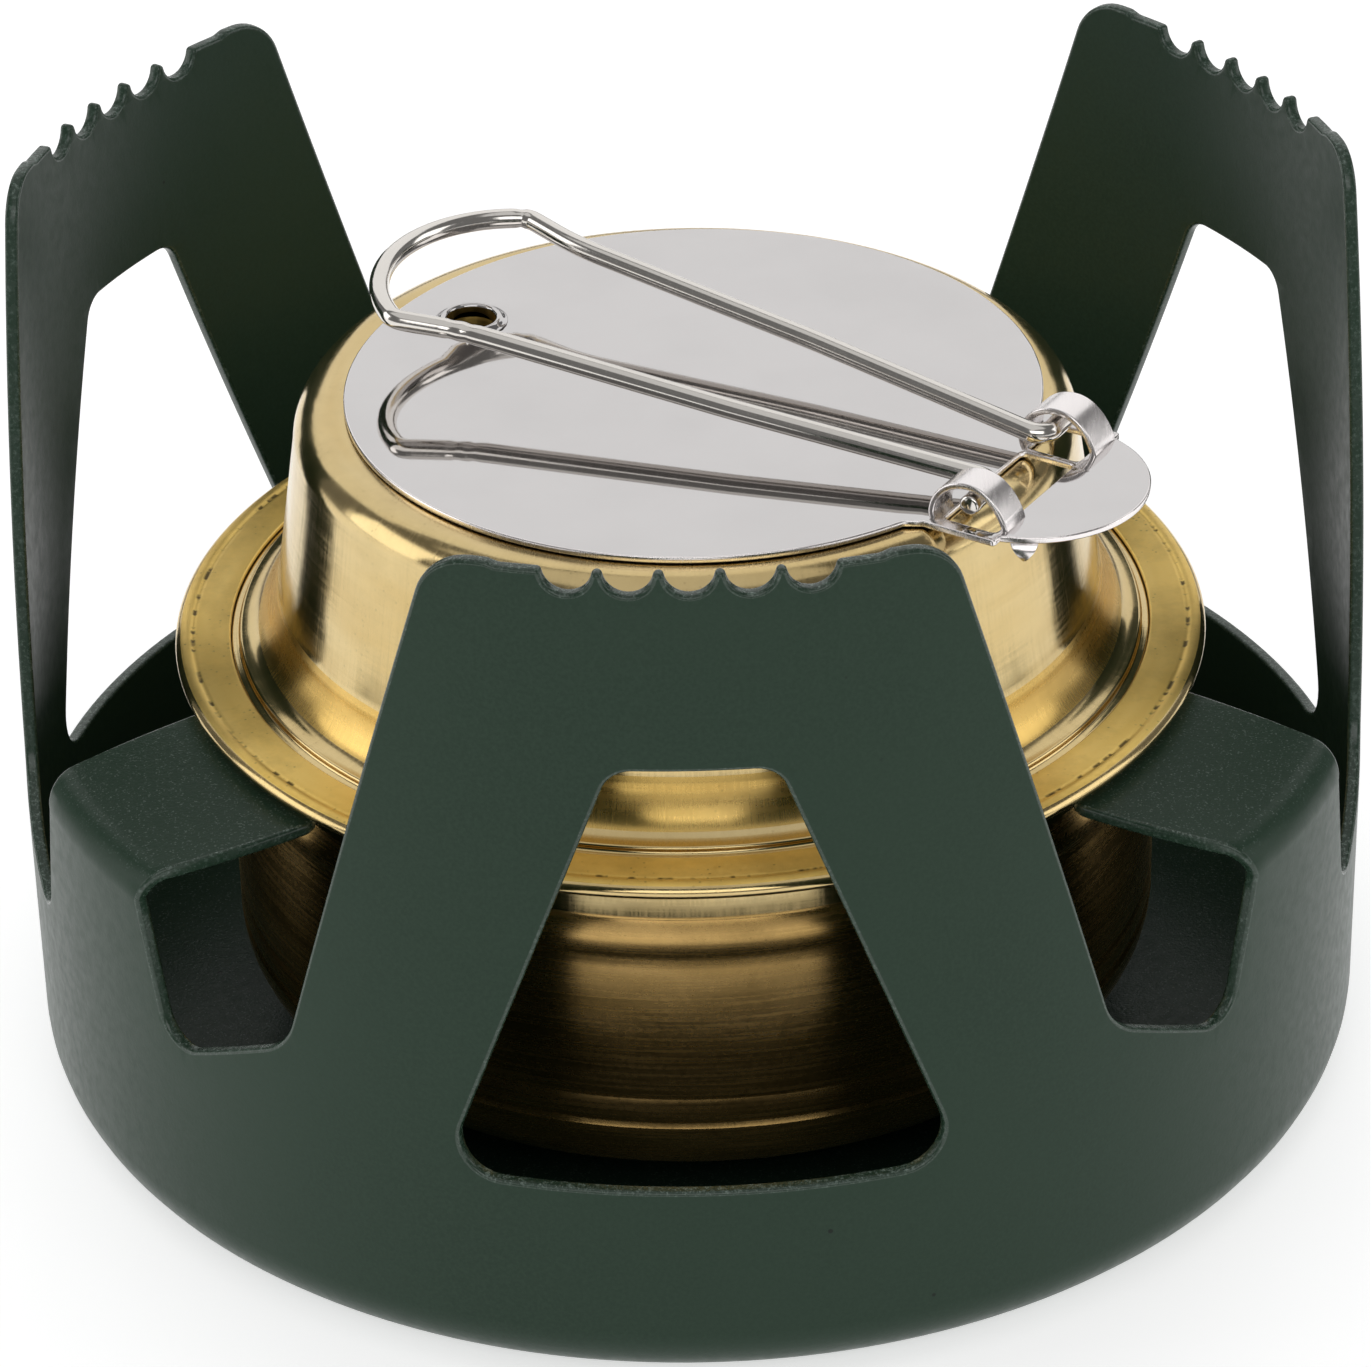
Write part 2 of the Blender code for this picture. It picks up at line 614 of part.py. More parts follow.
def make_eyelet(parent):
    """Hollow rivet through the plate and the ring's top; heights count from the plate's top."""
    over = GAP
    under = -(PLATE_SHEET + GAP + SKIN + GAP)
    rim = EYELET_RIM_SHEET
    profile = [(EYELET_BORE, under - rim), (EYELET_RIM, under - rim), (EYELET_RIM, under)]
    profile += [(EYELET_BARREL, under), (EYELET_BARREL, over), (EYELET_RIM, over)]
    profile += [(EYELET_RIM - 0.2 * MM, over + rim), (EYELET_BORE + 0.1 * MM, over + rim), (EYELET_BORE, over)]
    return turned("pivot_eyelet", profile, "steel_polished", parent, sides=16, crease=50)


def handle_half():
    """Half the wire's centre line, from its cut end to the middle of the finger end."""
    shoulder_x, shoulder_y = SHOULDER
    reach = FINGER_END - shoulder_x
    bow = (shoulder_y ** 2 + reach ** 2) / (2 * reach)
    sweep = asin(shoulder_y / bow)
    points = [(0, WIRE_END)]
    points += fillet((0, WIRE_END), (0, LEG_HALF), LEG_BOW, LEG_BEND, 4)
    points += [LEG_BOW, PINCH]
    points += arc((FINGER_END - bow, 0), bow, sweep, 0, 7)
    return points


def make_handle(parent):
    half = handle_half()
    path = half + [(x, -y) for x, y in reversed(half[:-1])]
    curve = bpy.data.curves.new("wire_handle", "CURVE")
    curve.dimensions = "3D"
    curve.bevel_depth = WIRE_RADIUS
    curve.bevel_resolution = 2
    curve.use_fill_caps = True
    spline = curve.splines.new("POLY")
    spline.points.add(len(path) - 1)
    for point, (x, y) in zip(spline.points, path):
        point.co = (x, y, 0, 1)
    curve.materials.append(material("steel_wire"))
    handle = bpy.data.objects.new("wire_handle", curve)
    bpy.context.collection.objects.link(handle)
    handle.parent = parent
    return handle


def main():
    clear_scene()
    make_stand()
    burner = empty("burner_axis")
    make_cup(burner)
    make_collar(burner)
    make_sleeve(burner)
    make_wick(burner)
    ring_axis = empty("ring_axis", parent=burner)
    ring = make_ring(ring_axis)
    pivot_place = (PLATE_CENTRE[0] - PIVOT_TO_DISC * cos(PLATE_AZIMUTH),
                   PLATE_CENTRE[1] - PIVOT_TO_DISC * sin(PLATE_AZIMUTH), PLATE_TOP)
    pivot = empty("plate_pivot", pivot_place, (0, 0, PLATE_AZIMUTH), ring_axis)
    drill = upright_peg("pivot_drill", EYELET_BARREL + GAP, -4 * MM, 2 * MM, 16, pivot)
    boolean(ring, drill)
    make_plate(pivot)
    make_eyelet(pivot)
    hinge_place = (PIVOT_TO_DISC + HINGE_FROM_DISC, 0, HINGE_RISE)
    hinge = empty("handle_hinge", hinge_place, (0, -HANDLE_TILT, pi + HANDLE_SKEW), pivot)
    make_handle(hinge)


main()
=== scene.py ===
"""Looks of the alcohol spirit stove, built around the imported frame.

Metres, +Z up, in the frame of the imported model. Every piece is rebuilt here at a finer grain than
its solid, and is placed from the solids' boxes and the record's joints.
"""

import json
from math import asin, atan2, ceil, cos, pi, radians, sin, sqrt, tan

import bmesh
import bpy
import numpy as np
from mathutils import Matrix, Vector
from mathutils.geometry import delaunay_2d_cdt


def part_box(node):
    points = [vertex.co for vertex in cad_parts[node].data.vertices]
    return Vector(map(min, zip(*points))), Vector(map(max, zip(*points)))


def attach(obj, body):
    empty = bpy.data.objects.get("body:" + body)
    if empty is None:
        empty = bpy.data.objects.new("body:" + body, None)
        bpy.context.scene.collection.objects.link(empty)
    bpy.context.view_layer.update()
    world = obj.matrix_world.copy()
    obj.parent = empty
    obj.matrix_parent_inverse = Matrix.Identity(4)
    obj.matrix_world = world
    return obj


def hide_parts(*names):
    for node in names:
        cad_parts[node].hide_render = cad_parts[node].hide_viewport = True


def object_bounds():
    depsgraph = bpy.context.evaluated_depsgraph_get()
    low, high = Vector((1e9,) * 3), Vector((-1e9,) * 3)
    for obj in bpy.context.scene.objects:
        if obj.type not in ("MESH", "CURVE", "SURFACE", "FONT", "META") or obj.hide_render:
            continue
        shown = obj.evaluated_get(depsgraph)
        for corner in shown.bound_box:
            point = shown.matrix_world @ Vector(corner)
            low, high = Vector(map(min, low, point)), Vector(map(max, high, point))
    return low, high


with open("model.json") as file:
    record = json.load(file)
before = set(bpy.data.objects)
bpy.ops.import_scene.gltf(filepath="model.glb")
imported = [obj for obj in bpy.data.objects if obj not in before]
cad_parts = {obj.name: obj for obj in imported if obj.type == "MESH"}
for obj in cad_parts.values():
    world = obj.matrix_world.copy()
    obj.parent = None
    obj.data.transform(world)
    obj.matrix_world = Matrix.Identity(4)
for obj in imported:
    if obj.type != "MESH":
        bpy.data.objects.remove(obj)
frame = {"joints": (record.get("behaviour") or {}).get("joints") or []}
CAD_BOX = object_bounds()

MM = 0.001
SIDES = 192                         # facets round a turned piece
SHEET = 0.6 * MM                    # brass sheet

# Anchors taken from the frame
STAND_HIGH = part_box("pot_stand")[1]
CUP_LOW, CUP_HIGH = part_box("burner_cup")
COLLAR_LOW, COLLAR_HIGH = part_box("burner_collar")
SLEEVE_LOW, SLEEVE_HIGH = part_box("vapour_sleeve")
WICK_LOW, WICK_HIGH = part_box("wick_band")
RING_LOW, RING_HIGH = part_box("simmer_ring")
JOINTS = {joint["name"]: joint for joint in frame["joints"]}
PIVOT = Vector(JOINTS["plate_swing"]["pos_m"])
HINGE = Vector(JOINTS["handle_fold"]["pos_m"])
HINGE_AXIS = Vector(JOINTS["handle_fold"]["axis"])
TO_EAR = Vector((HINGE.x - PIVOT.x, HINGE.y - PIVOT.y, 0)).normalized()


# Outlines ------------------------------------------------------------------------------------

def arc(centre, radius, start, end, steps):
    """Points of a circular arc, ends included; angles in radians."""
    angles = [start + (end - start) * i / steps for i in range(steps + 1)]
    return [(centre[0] + radius * cos(a), centre[1] + radius * sin(a)) for a in angles]


def turns(count):
    """Angles spread evenly over a full turn."""
    return [2 * pi * i / count for i in range(count)]


def fillet(before, corner, after, radius, steps=8):
    """Arc that rounds the corner between two straight edges."""
    to_before = (Vector(before) - Vector(corner)).normalized()
    to_after = (Vector(after) - Vector(corner)).normalized()
    half = to_before.angle(to_after) / 2
    centre = Vector(corner) + (to_before + to_after).normalized() * (radius / sin(half))
    first = Vector(corner) + to_before * (radius / tan(half)) - centre
    last = Vector(corner) + to_after * (radius / tan(half)) - centre
    start = atan2(first.y, first.x)
    turn = (atan2(last.y, last.x) - start + pi) % (2 * pi) - pi
    return arc(centre, radius, start, start + turn, steps)


def rounded(corners, steps=8):
    """Closed outline from (x, y, radius) corners."""
    points = []
    for i, (x, y, radius) in enumerate(corners):
        before = corners[i - 1][:2]
        after = corners[(i + 1) % len(corners)][:2]
        points += fillet(before, (x, y), after, radius, steps) if radius else [(x, y)]
    return points


def split_long(points, step, closed=True):
    """Add points so that no edge is longer than the step."""
    result = []
    pairs = list(zip(points, points[1:] + points[:1]))
    if not closed:
        pairs = pairs[:-1]
    for (x0, y0), (x1, y1) in pairs:
        parts = max(1, ceil(sqrt((x1 - x0) ** 2 + (y1 - y0) ** 2) / step - 0.01))
        result += [(x0 + (x1 - x0) * i / parts, y0 + (y1 - y0) * i / parts) for i in range(parts)]
    if not closed:
        result.append(points[-1])
    return result


def within(points, loop):
    """Which of the points lie inside a closed loop."""
    x, y = points[:, 0], points[:, 1]
    hit = np.zeros(len(points), bool)
    for (x0, y0), (x1, y1) in zip(loop, loop[1:] + loop[:1]):
        if y0 != y1:
            crosses = (y0 > y) != (y1 > y)
            hit ^= crosses & (x < (x1 - x0) * (y - y0) / (y1 - y0) + x0)
    return hit


def shifted(points, distance, closed):
    """Points moved to the right of their direction of travel, which is the empty side."""
    count = len(points)
    result = []
    for i, point in enumerate(points):
        here = Vector(point)
        before = here - Vector(points[i - 1]) if closed or i > 0 else None
        after = Vector(points[(i + 1) % count]) - here if closed or i < count - 1 else None
        before = (before or after).normalized()
        after = (after or before).normalized()
        way = (before + after).normalized()
        reach = distance / max(0.5, way.dot(after))
        result.append((here.x + way.y * reach, here.y - way.x * reach))
    return result


def rim_section(edge, thickness, steps=3):
    """Offsets and depths across a cut edge whose two corners are rounded."""
    turns = [pi / 2 * i / steps for i in range(steps + 1)]
    near = [(-edge * (1 - sin(a)), edge * (1 - cos(a))) for a in turns]
    far = [(offset, thickness - depth) for offset, depth in reversed(near)]
    return near + far


def bridge(bm, first, second, closed=True):
    for i in range(len(first) - (0 if closed else 1)):
        j = (i + 1) % len(first)
        corners = list(dict.fromkeys((first[i], first[j], second[j], second[i])))
        if len(corners) > 2:
            bm.faces.new(corners)


def add_sheet(bm, rims, frame_points, grid, surface, thickness, edge):
    """Raise a flat pattern with rounded cut edges into a sheet.

    rims are (points, closed) with the empty side on the right. frame_points close an open first
    rim, along edges that another sheet continues. surface maps (x, y, depth) to its place. The
    cut edges take the piece's second material.
    """
    loops = []
    before = len(bm.faces)
    for points, closed in rims:
        rings = []
        for offset, depth in rim_section(edge, thickness):
            moved = shifted(points, offset, closed)
            rings.append([bm.verts.new(surface(x, y, depth)) for x, y in moved])
        for first, second in zip(rings, rings[1:]):
            bridge(bm, first, second, closed)
        loops.append(shifted(points, -edge, closed))
    bm.faces.ensure_lookup_table()
    for face in bm.faces[before:]:
        face.material_index = 1
    loops[0] = loops[0] + list(frame_points)
    spots = np.array(grid or [(9.0, 9.0)])
    keep = within(spots, loops[0])
    for hole in loops[1:]:
        keep &= ~within(spots, hole)
    border = np.vstack([np.array(loop) for loop in loops])
    clear = np.array([np.hypot(*(border - spot).T).min() for spot in spots])
    spots = spots[keep & (clear > 0.45 * MM)]
    points = [Vector(p) for loop in loops for p in loop] + [Vector(p) for p in spots]
    edges = []
    start = 0
    for loop in loops:
        edges += [(start + i, start + (i + 1) % len(loop)) for i in range(len(loop))]
        start += len(loop)
    points, _, faces, _, _, _ = delaunay_2d_cdt(points, edges, [], 1, 1e-9)
    middles = np.array([sum((points[i] for i in f), Vector((0, 0))) / len(f) for f in faces])
    kept = within(middles, loops[0])
    for hole in loops[1:]:
        kept &= ~within(middles, hole)
    for depth in (0.0, thickness):
        verts = [bm.verts.new(surface(p.x, p.y, depth)) for p in points]
        for face, keep_it in zip(faces, kept):
            if keep_it:
                bm.faces.new([verts[i] for i in face])


def finish(name, bm, node, body, slot, *materials, weld=0.002 * MM):
    """Turn a bmesh into a smooth piece that stands for a CAD node and rides on its body."""
    bmesh.ops.remove_doubles(bm, verts=bm.verts, dist=weld)
    loose = [v for v in bm.verts if not v.link_faces]
    bmesh.ops.delete(bm, geom=loose, context="VERTS")
    bmesh.ops.recalc_face_normals(bm, faces=bm.faces)
    mesh = bpy.data.meshes.new(name)
    bm.to_mesh(mesh)
    bm.free()
    mesh.shade_smooth()
    for material in materials:
        mesh.materials.append(material)
    piece = bpy.data.objects.new(name, mesh)
    bpy.context.scene.collection.objects.link(piece)
    soften = piece.modifiers.new("even_normals", "WEIGHTED_NORMAL")
    soften.weight = 60
    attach(piece, body)
    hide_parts(node)
    return piece


def add_turned(bm, profile, sides=SIDES):
    """Revolve a closed (radius, height) profile about Z."""
    rings = []
    for radius, height in profile:
        if radius < 0.001 * MM:
            rings.append([bm.verts.new((0, 0, height))] * sides)
            continue
        rings.append([bm.verts.new((radius * cos(a), radius * sin(a), height))
                      for a in turns(sides)])
    for low, high in zip(rings, rings[1:] + rings[:1]):
        bridge(bm, low, high)


# Materials -----------------------------------------------------------------------------------

class Shader:
    """Short hand for building one node material in object coordinates."""

    def __init__(self, name, colour, roughness, metallic):
        self.material = bpy.data.materials.new(name)
        self.material.use_nodes = True
        self.tree = self.material.node_tree
        self.bsdf = self.tree.nodes["Principled BSDF"]
        self.bsdf.inputs["Base Color"].default_value = (*colour, 1.0)
        self.bsdf.inputs["Roughness"].default_value = roughness
        self.bsdf.inputs["Metallic"].default_value = metallic
        self.place = self.node("TexCoord").outputs["Object"]
        self.height = None

    def node(self, kind, links=(), **values):
        made = self.tree.nodes.new("ShaderNode" + kind)
        for key, value in values.items():
            if key in made.inputs:
                made.inputs[key].default_value = value
            else:
                setattr(made, key, value)
        for key, source in dict(links).items():
            self.tree.links.new(source, made.inputs[key])
        return made

    def math(self, operation, a, b=0.0, c=0.0):
        made = self.tree.nodes.new("ShaderNodeMath")
        made.operation = operation
        for socket, value in zip(made.inputs, (a, b, c)):
            if isinstance(value, (int, float)):
                socket.default_value = value
            else:
                self.tree.links.new(value, socket)
        return made.outputs[0]

    def noise(self, scale, detail=2.0, roughness=0.5, vector=None, distortion=0.0):
        made = self.node("TexNoise", {"Vector": vector or self.place}, Scale=scale, Detail=detail,
                         Roughness=roughness, Distortion=distortion)
        return made.outputs[0]

    def cells(self, scale):
        return self.node("TexVoronoi", {"Vector": self.place}, Scale=scale)

    def stretch(self, scale, turn):
        made = self.node("Mapping", {"Vector": self.place})
        made.inputs["Rotation"].default_value = turn
        made.inputs["Scale"].default_value = scale
        return made.outputs[0]

    def spun(self, around, radial, axial):
        """Coordinates that run round the Z axis, for turning marks without a seam."""
        x, y, z = self.node("SeparateXYZ", {"Vector": self.place}).outputs
        radius = self.axis_distance()
        across = self.math("MAXIMUM", radius, 0.001)
        rows = self.math("ADD", self.math("MULTIPLY", radius, radial),
                         self.math("MULTIPLY", z, axial))
        made = self.node("CombineXYZ", {
            "X": self.math("MULTIPLY", self.math("DIVIDE", x, across), around),
            "Y": self.math("MULTIPLY", self.math("DIVIDE", y, across), around),
            "Z": rows})
        return made.outputs[0]

    def axis_distance(self):
        """Distance from the Z axis."""
        x, y, _ = self.node("SeparateXYZ", {"Vector": self.place}).outputs
        squares = [self.math("MULTIPLY", value, value) for value in (x, y)]
        return self.math("SQRT", self.math("ADD", *squares))

    def between(self, value, low, high, to_low=0.0, to_high=1.0):
        made = self.node("MapRange", {"Value": value})
        made.inputs["From Min"].default_value = low
        made.inputs["From Max"].default_value = high
        made.inputs["To Min"].default_value = to_low
        made.inputs["To Max"].default_value = to_high
        return made.outputs[0]

    def mix(self, share, first, second):
        made = self.tree.nodes.new("ShaderNodeMix")
        made.data_type = "RGBA"
        sockets = [s for s in made.inputs if s.type == "RGBA"]
        for socket, value in zip(sockets, (first, second)):
            if isinstance(value, tuple):
                socket.default_value = (*value, 1.0)
            else:
                self.tree.links.new(value, socket)
        self.tree.links.new(share, made.inputs[0])
        return [s for s in made.outputs if s.type == "RGBA"][0]

    def colour(self, value):
        self.tree.links.new(value, self.bsdf.inputs["Base Color"])

    def roughness(self, value):
        self.tree.links.new(value, self.bsdf.inputs["Roughness"])

    def bump(self, value, depth):
        """Stack a bump whose full height is depth metres."""
        links = {"Height": value}
        if self.height is not None:
            links["Normal"] = self.height
        made = self.node("Bump", links, Distance=depth)
        self.height = made.outputs[0]
        self.tree.links.new(self.height, self.bsdf.inputs["Normal"])


def green_coat(name, rough, chips_and_glints):
    """Satin dark green baked coating: fine grain, painted glints on faces that turn up, and, if asked,
    chips mixed with painted edge glints.
    """
    s = Shader(name, (0.018, 0.039, 0.024), rough[0], 0.0)
    broad = s.between(s.noise(45.0, 3.0), 0.35, 0.65)
    base = s.mix(broad, (0.017, 0.038, 0.023), (0.020, 0.043, 0.026))
    grain = s.between(s.noise(3600.0, 2.0, 0.6), 0.35, 0.7)
    base = s.mix(grain, base, (0.022, 0.046, 0.029))
    dust = s.between(s.cells(230.0).outputs["Distance"], 0.05, 0.03)
    dust = s.math("MULTIPLY", dust, s.between(s.noise(60.0), 0.56, 0.62))
    base = s.mix(dust, base, (0.010, 0.016, 0.012))
    # Painted glints: pale flecks mixed into the colour where the surface faces up, standing in for
    # light caught there.
    facing = s.node("SeparateXYZ", {"Vector": s.node("NewGeometry").outputs["Normal"]}).outputs[2]
    facing = s.between(facing, 0.55, 0.95)
    pick = s.node("SeparateColor", {"Color": s.cells(9500.0).outputs["Color"]}).outputs[0]
    painted_glint = s.math("MULTIPLY", s.between(pick, 0.90, 0.99), facing)
    base = s.mix(s.math("MULTIPLY", painted_glint, 0.60), base, (0.14, 0.18, 0.155))
    # Partly real chips, partly painted highlight: lighter flecks on the cut edges, strongest where an
    # edge faces up.
    if chips_and_glints:
        worn = s.between(s.noise(3600.0, 4.0, 0.75), 0.52, 0.66)
        share = s.math("ADD", s.math("MULTIPLY", facing, chips_and_glints), 0.22)
        base = s.mix(s.math("MULTIPLY", worn, share), base, (0.25, 0.32, 0.28))
    s.colour(base)
    s.roughness(s.between(s.noise(1100.0, 3.0), 0.3, 0.7, rough[0], rough[1]))
    s.bump(s.noise(900.0, 2.0), 0.008 * MM)
    s.bump(s.math("MULTIPLY", s.noise(3800.0, 2.0, 0.6), s.math("ADD", facing, 0.25)), 0.030 * MM)
    s.bsdf.inputs["Specular IOR Level"].default_value = 0.17 if not chips_and_glints else 0.5
    return s.material


LATHE_SMEAR = 0.8                   # how far turning marks smear a reflection
LATHE_TURN = 0.25                   # quarter turn: the smear runs along Z


def brass(name, light, dark, rough, marks, waves, stain, grain=0.0, brush=0.0, seam=None):
    """Turned brass: fine rings from the lathe, soft waves in the sheet and faint tarnish. Grain
    turns the rings into an even satin, brush adds strokes along Z, seam is a radius at which
    dirt sits in dashes."""
    s = Shader(name, light, rough[0], 1.0)
    tangent = s.node("Tangent", direction_type="RADIAL", axis="Z")
    s.tree.links.new(tangent.outputs[0], s.bsdf.inputs["Tangent"])
    s.bsdf.inputs["Anisotropic"].default_value = LATHE_SMEAR
    s.bsdf.inputs["Anisotropic Rotation"].default_value = LATHE_TURN
    rings = s.noise(1.0, 3.0, 0.6, s.spun(3.0, 5200.0, 4300.0))
    if grain:
        fine = s.noise(2600.0, 3.0, 0.65)
        share = s.math("MULTIPLY", s.math("SUBTRACT", fine, rings), grain)
        rings = s.math("ADD", rings, share)
    broad = s.noise(1.0, 2.0, 0.5, s.spun(2.0, 420.0, 380.0))
    cloud = s.between(s.noise(150.0, 5.0, 0.65), 0.45, 0.72)
    base = s.mix(s.between(broad, 0.35, 0.7), light, dark)
    base = s.mix(s.math("MULTIPLY", cloud, stain), base, tuple(0.6 * c for c in dark))
    speck = s.between(s.cells(1700.0).outputs["Distance"], 0.2, 0.1)
    speck = s.math("MULTIPLY", speck, s.between(s.noise(300.0, 2.0), 0.48, 0.6))
    base = s.mix(s.math("MULTIPLY", speck, stain), base, tuple(0.4 * c for c in dark))
    if seam:
        off = s.math("ABSOLUTE", s.math("SUBTRACT", s.axis_distance(), seam))
        dirt = s.math("MULTIPLY", s.between(off, 0.22 * MM, 0.08 * MM),
                      s.between(s.noise(1.0, 2.0, 0.6, s.spun(26.0, 300.0, 0.0)), 0.52, 0.60))
        base = s.mix(s.math("MULTIPLY", dirt, 0.85), base, (0.045, 0.030, 0.012))
    s.colour(base)
    gloss = s.between(rings, 0.3, 0.75, rough[0], rough[1])
    if brush:
        stroke = s.noise(1.0, 3.0, 0.6, s.spun(190.0, 150.0, 150.0))
        gloss = s.math("ADD", gloss, s.between(stroke, 0.4, 0.75, 0.0, brush))
        s.bump(stroke, 0.0012 * MM)
    s.roughness(gloss)
    s.bump(s.noise(75.0, 2.0), waves)
    s.bump(s.noise(190.0, 2.0), 0.15 * waves)
    s.bump(rings, marks)
    return s.material


def steel(name, tone, rough, marks):
    """Bright rolled steel with faint hairlines and a few handling marks."""
    s = Shader(name, tone, rough[0], 1.0)
    hair = s.noise(1.0, 3.0, 0.65, s.stretch((4200.0, 120.0, 900.0), (0, 0, radians(52))))
    cloud = s.between(s.noise(120.0, 4.0), 0.4, 0.7)
    s.colour(s.mix(cloud, tone, tuple(0.96 * c for c in tone)))
    smear = s.between(s.noise(240.0, 5.0, 0.7, distortion=1.2), 0.58, 0.75, 0.0, 0.03)
    s.roughness(s.math("ADD", s.between(hair, 0.3, 0.8, rough[0], rough[1]), smear))
    s.bump(hair, marks)
    return s.material


def fibre():
    """Loose woven mineral fibre band."""
    s = Shader("fibre", (0.80, 0.76, 0.66), 0.95, 0.0)
    warp = s.node("TexWave", {"Vector": s.spun(40.0, 0.0, 3000.0)}, Scale=1.0, Distortion=1.5)
    tangle = s.noise(1800.0, 4.0, 0.7)
    s.colour(s.mix(tangle, (0.86, 0.82, 0.72), (0.55, 0.50, 0.40)))
    s.bump(warp.outputs[0], 0.15 * MM)
    s.bump(tangle, 0.2 * MM)
    return s.material


FLOOR_GLOW = 0.58                   # the bright ground lights the stove from below


def pale_floor():
    s = Shader("pale_floor", (0.80, 0.80, 0.80), 0.7, 0.0)
    s.colour(s.mix(s.noise(25.0, 3.0), (0.80, 0.80, 0.80), (0.82, 0.82, 0.82)))
    s.bsdf.inputs["Emission Color"].default_value = (1.0, 1.0, 1.0, 1.0)
    s.bsdf.inputs["Emission Strength"].default_value = FLOOR_GLOW
    s.bump(s.noise(1500.0, 2.0), 0.01 * MM)
    return s.material


# Pot stand -----------------------------------------------------------------------------------

RADIUS = STAND_HIGH.x
HEIGHT = STAND_HIGH.z
STAND_SHEET = 1.0 * MM
EDGE = 0.28 * MM                    # rounding of the coated cut edges
BASE_CORNER = 5.0 * MM
COLUMNS = 216
UPRIGHT_CORNER = 4.0 * MM
UPRIGHT_HALF_TOP = 17.3 * MM
SCALLOP_PITCH = 4.0 * MM
SCALLOP_DEPTH = 1.65 * MM
TOOTH_RADIUS = 0.36 * MM
LOBE_INNER = 13.3 * MM
LOBE_STEP = 0.25 * MM
LOBE_BEND = 1.0 * MM
GRAIN = 1.6 * MM                    # longest edge along the stand's outlines
WALL_ROWS = 8
TAB_ROWS = 5
BASE_RINGS = (0.82, 0.6, 0.3)       # shares of the radius
WINDOW = (17.1 * MM, 50.9 * MM, 5.55 * MM, 0.377)   # low, high, half width at the top, flare
WINDOW_CORNERS = (3.0 * MM, 2.2 * MM)               # radii at the bottom and the top
TAB_START = 29.45 * MM
TAB_BEND = 2.5 * MM
TAB_TURN = radians(87)
TAB_RUN = 11.2 * MM
TAB_HALF = (7.25 * MM, 12.3 * MM)   # at the wall and at the tip
TAB_TIP_CORNER = 1.2 * MM
NOTCH_LOW = (10.0 * MM, 18.2 * MM, 2.5 * MM)   # from the tab's middle, height, corner radius
NOTCH_HIGH = (21.9 * MM, 23.8 * MM, 5.0 * MM)
SECTOR = 2 * pi / 3
SECTOR_HALF = RADIUS * SECTOR / 2
BEND_LENGTH = TAB_BEND * TAB_TURN
TAB_END = TAB_START + BEND_LENGTH + TAB_RUN
BEND_ROWS = [TAB_START + BEND_LENGTH * i / 10 for i in range(11)]


def scalloped_top():
    """Right half of an upright's top edge: valleys with rounded teeth between them."""
    top = HEIGHT - LOBE_STEP
    half = SCALLOP_PITCH / 2
    valley = SCALLOP_PITCH ** 2 / (8 * SCALLOP_DEPTH) + SCALLOP_DEPTH / 2 - TOOTH_RADIUS
    low = top - SCALLOP_DEPTH + valley
    meet = atan2(top - TOOTH_RADIUS - low, half)
    points = arc((0, low), valley, -pi / 2, meet, 8)
    for k in (0, 1):
        tip = (half + k * SCALLOP_PITCH, top - TOOTH_RADIUS)
        points += arc(tip, TOOTH_RADIUS, pi + meet, -meet, 8)[1:-1]
        points += arc(((k + 1) * SCALLOP_PITCH, low), valley, -pi - meet, meet, 14)
    last = (half + 2 * SCALLOP_PITCH, top - TOOTH_RADIUS)
    points += arc(last, TOOTH_RADIUS, pi + meet, pi / 2, 4)[1:]
    rise = [(LOBE_INNER - 3 * LOBE_STEP, top, LOBE_BEND), (LOBE_INNER, HEIGHT, LOBE_BEND)]
    for i, (x, y, radius) in enumerate(rise):
        before = points[-1] if i == 0 else rise[0][:2]
        after = rise[1][:2] if i == 0 else (UPRIGHT_HALF_TOP, HEIGHT)
        points += fillet(before, (x, y), after, radius, 2)
    return points


def half_outline():
    """Right half of one sector, from the middle of its upright to the middle of the next tab."""
    points = scalloped_top()
    side_top = (UPRIGHT_HALF_TOP, HEIGHT)
    notch_high = (SECTOR_HALF - NOTCH_HIGH[0], NOTCH_HIGH[1])
    notch_low = (SECTOR_HALF - NOTCH_LOW[0], NOTCH_LOW[1])
    points += fillet(points[-1], side_top, notch_high, UPRIGHT_CORNER, 10)
    points += fillet(side_top, notch_high, notch_low, NOTCH_HIGH[2], 10)
    tab_root = (SECTOR_HALF - TAB_HALF[0], TAB_START)
    points += fillet(notch_high, notch_low, tab_root, NOTCH_LOW[2], 10)
    flare = (TAB_HALF[1] - TAB_HALF[0]) / (TAB_END - TAB_START)
    for v in BEND_ROWS:
        points.append((SECTOR_HALF - TAB_HALF[0] - flare * (v - TAB_START), v))
    tip = (SECTOR_HALF - TAB_HALF[1], TAB_END)
    points += fillet(points[-1], tip, (SECTOR_HALF, TAB_END), TAB_TIP_CORNER, 8)
    points.append((SECTOR_HALF, TAB_END))
    return points


def window_outline():
    low, high, half_high, flare = WINDOW
    half_low = half_high + flare * (high - low)
    low_corner, high_corner = WINDOW_CORNERS
    corners = [(-half_low, low, low_corner), (-half_high, high, high_corner),
               (half_high, high, high_corner), (half_low, low, low_corner)]
    return split_long(rounded(corners, 8), GRAIN)


def on_stand(s, v, depth):
    """Radius and height at s along the wall and v up the sheet."""
    if abs(s) <= SECTOR_HALF - NOTCH_HIGH[0] or v <= TAB_START:
        return RADIUS - depth, v
    turn = min((v - TAB_START) / TAB_BEND, TAB_TURN)
    run = max(v - TAB_START - BEND_LENGTH, 0.0)
    around = TAB_BEND - depth
    radius = RADIUS - TAB_BEND + around * cos(turn) - run * sin(turn)
    return radius, TAB_START + around * sin(turn) + run * cos(turn)


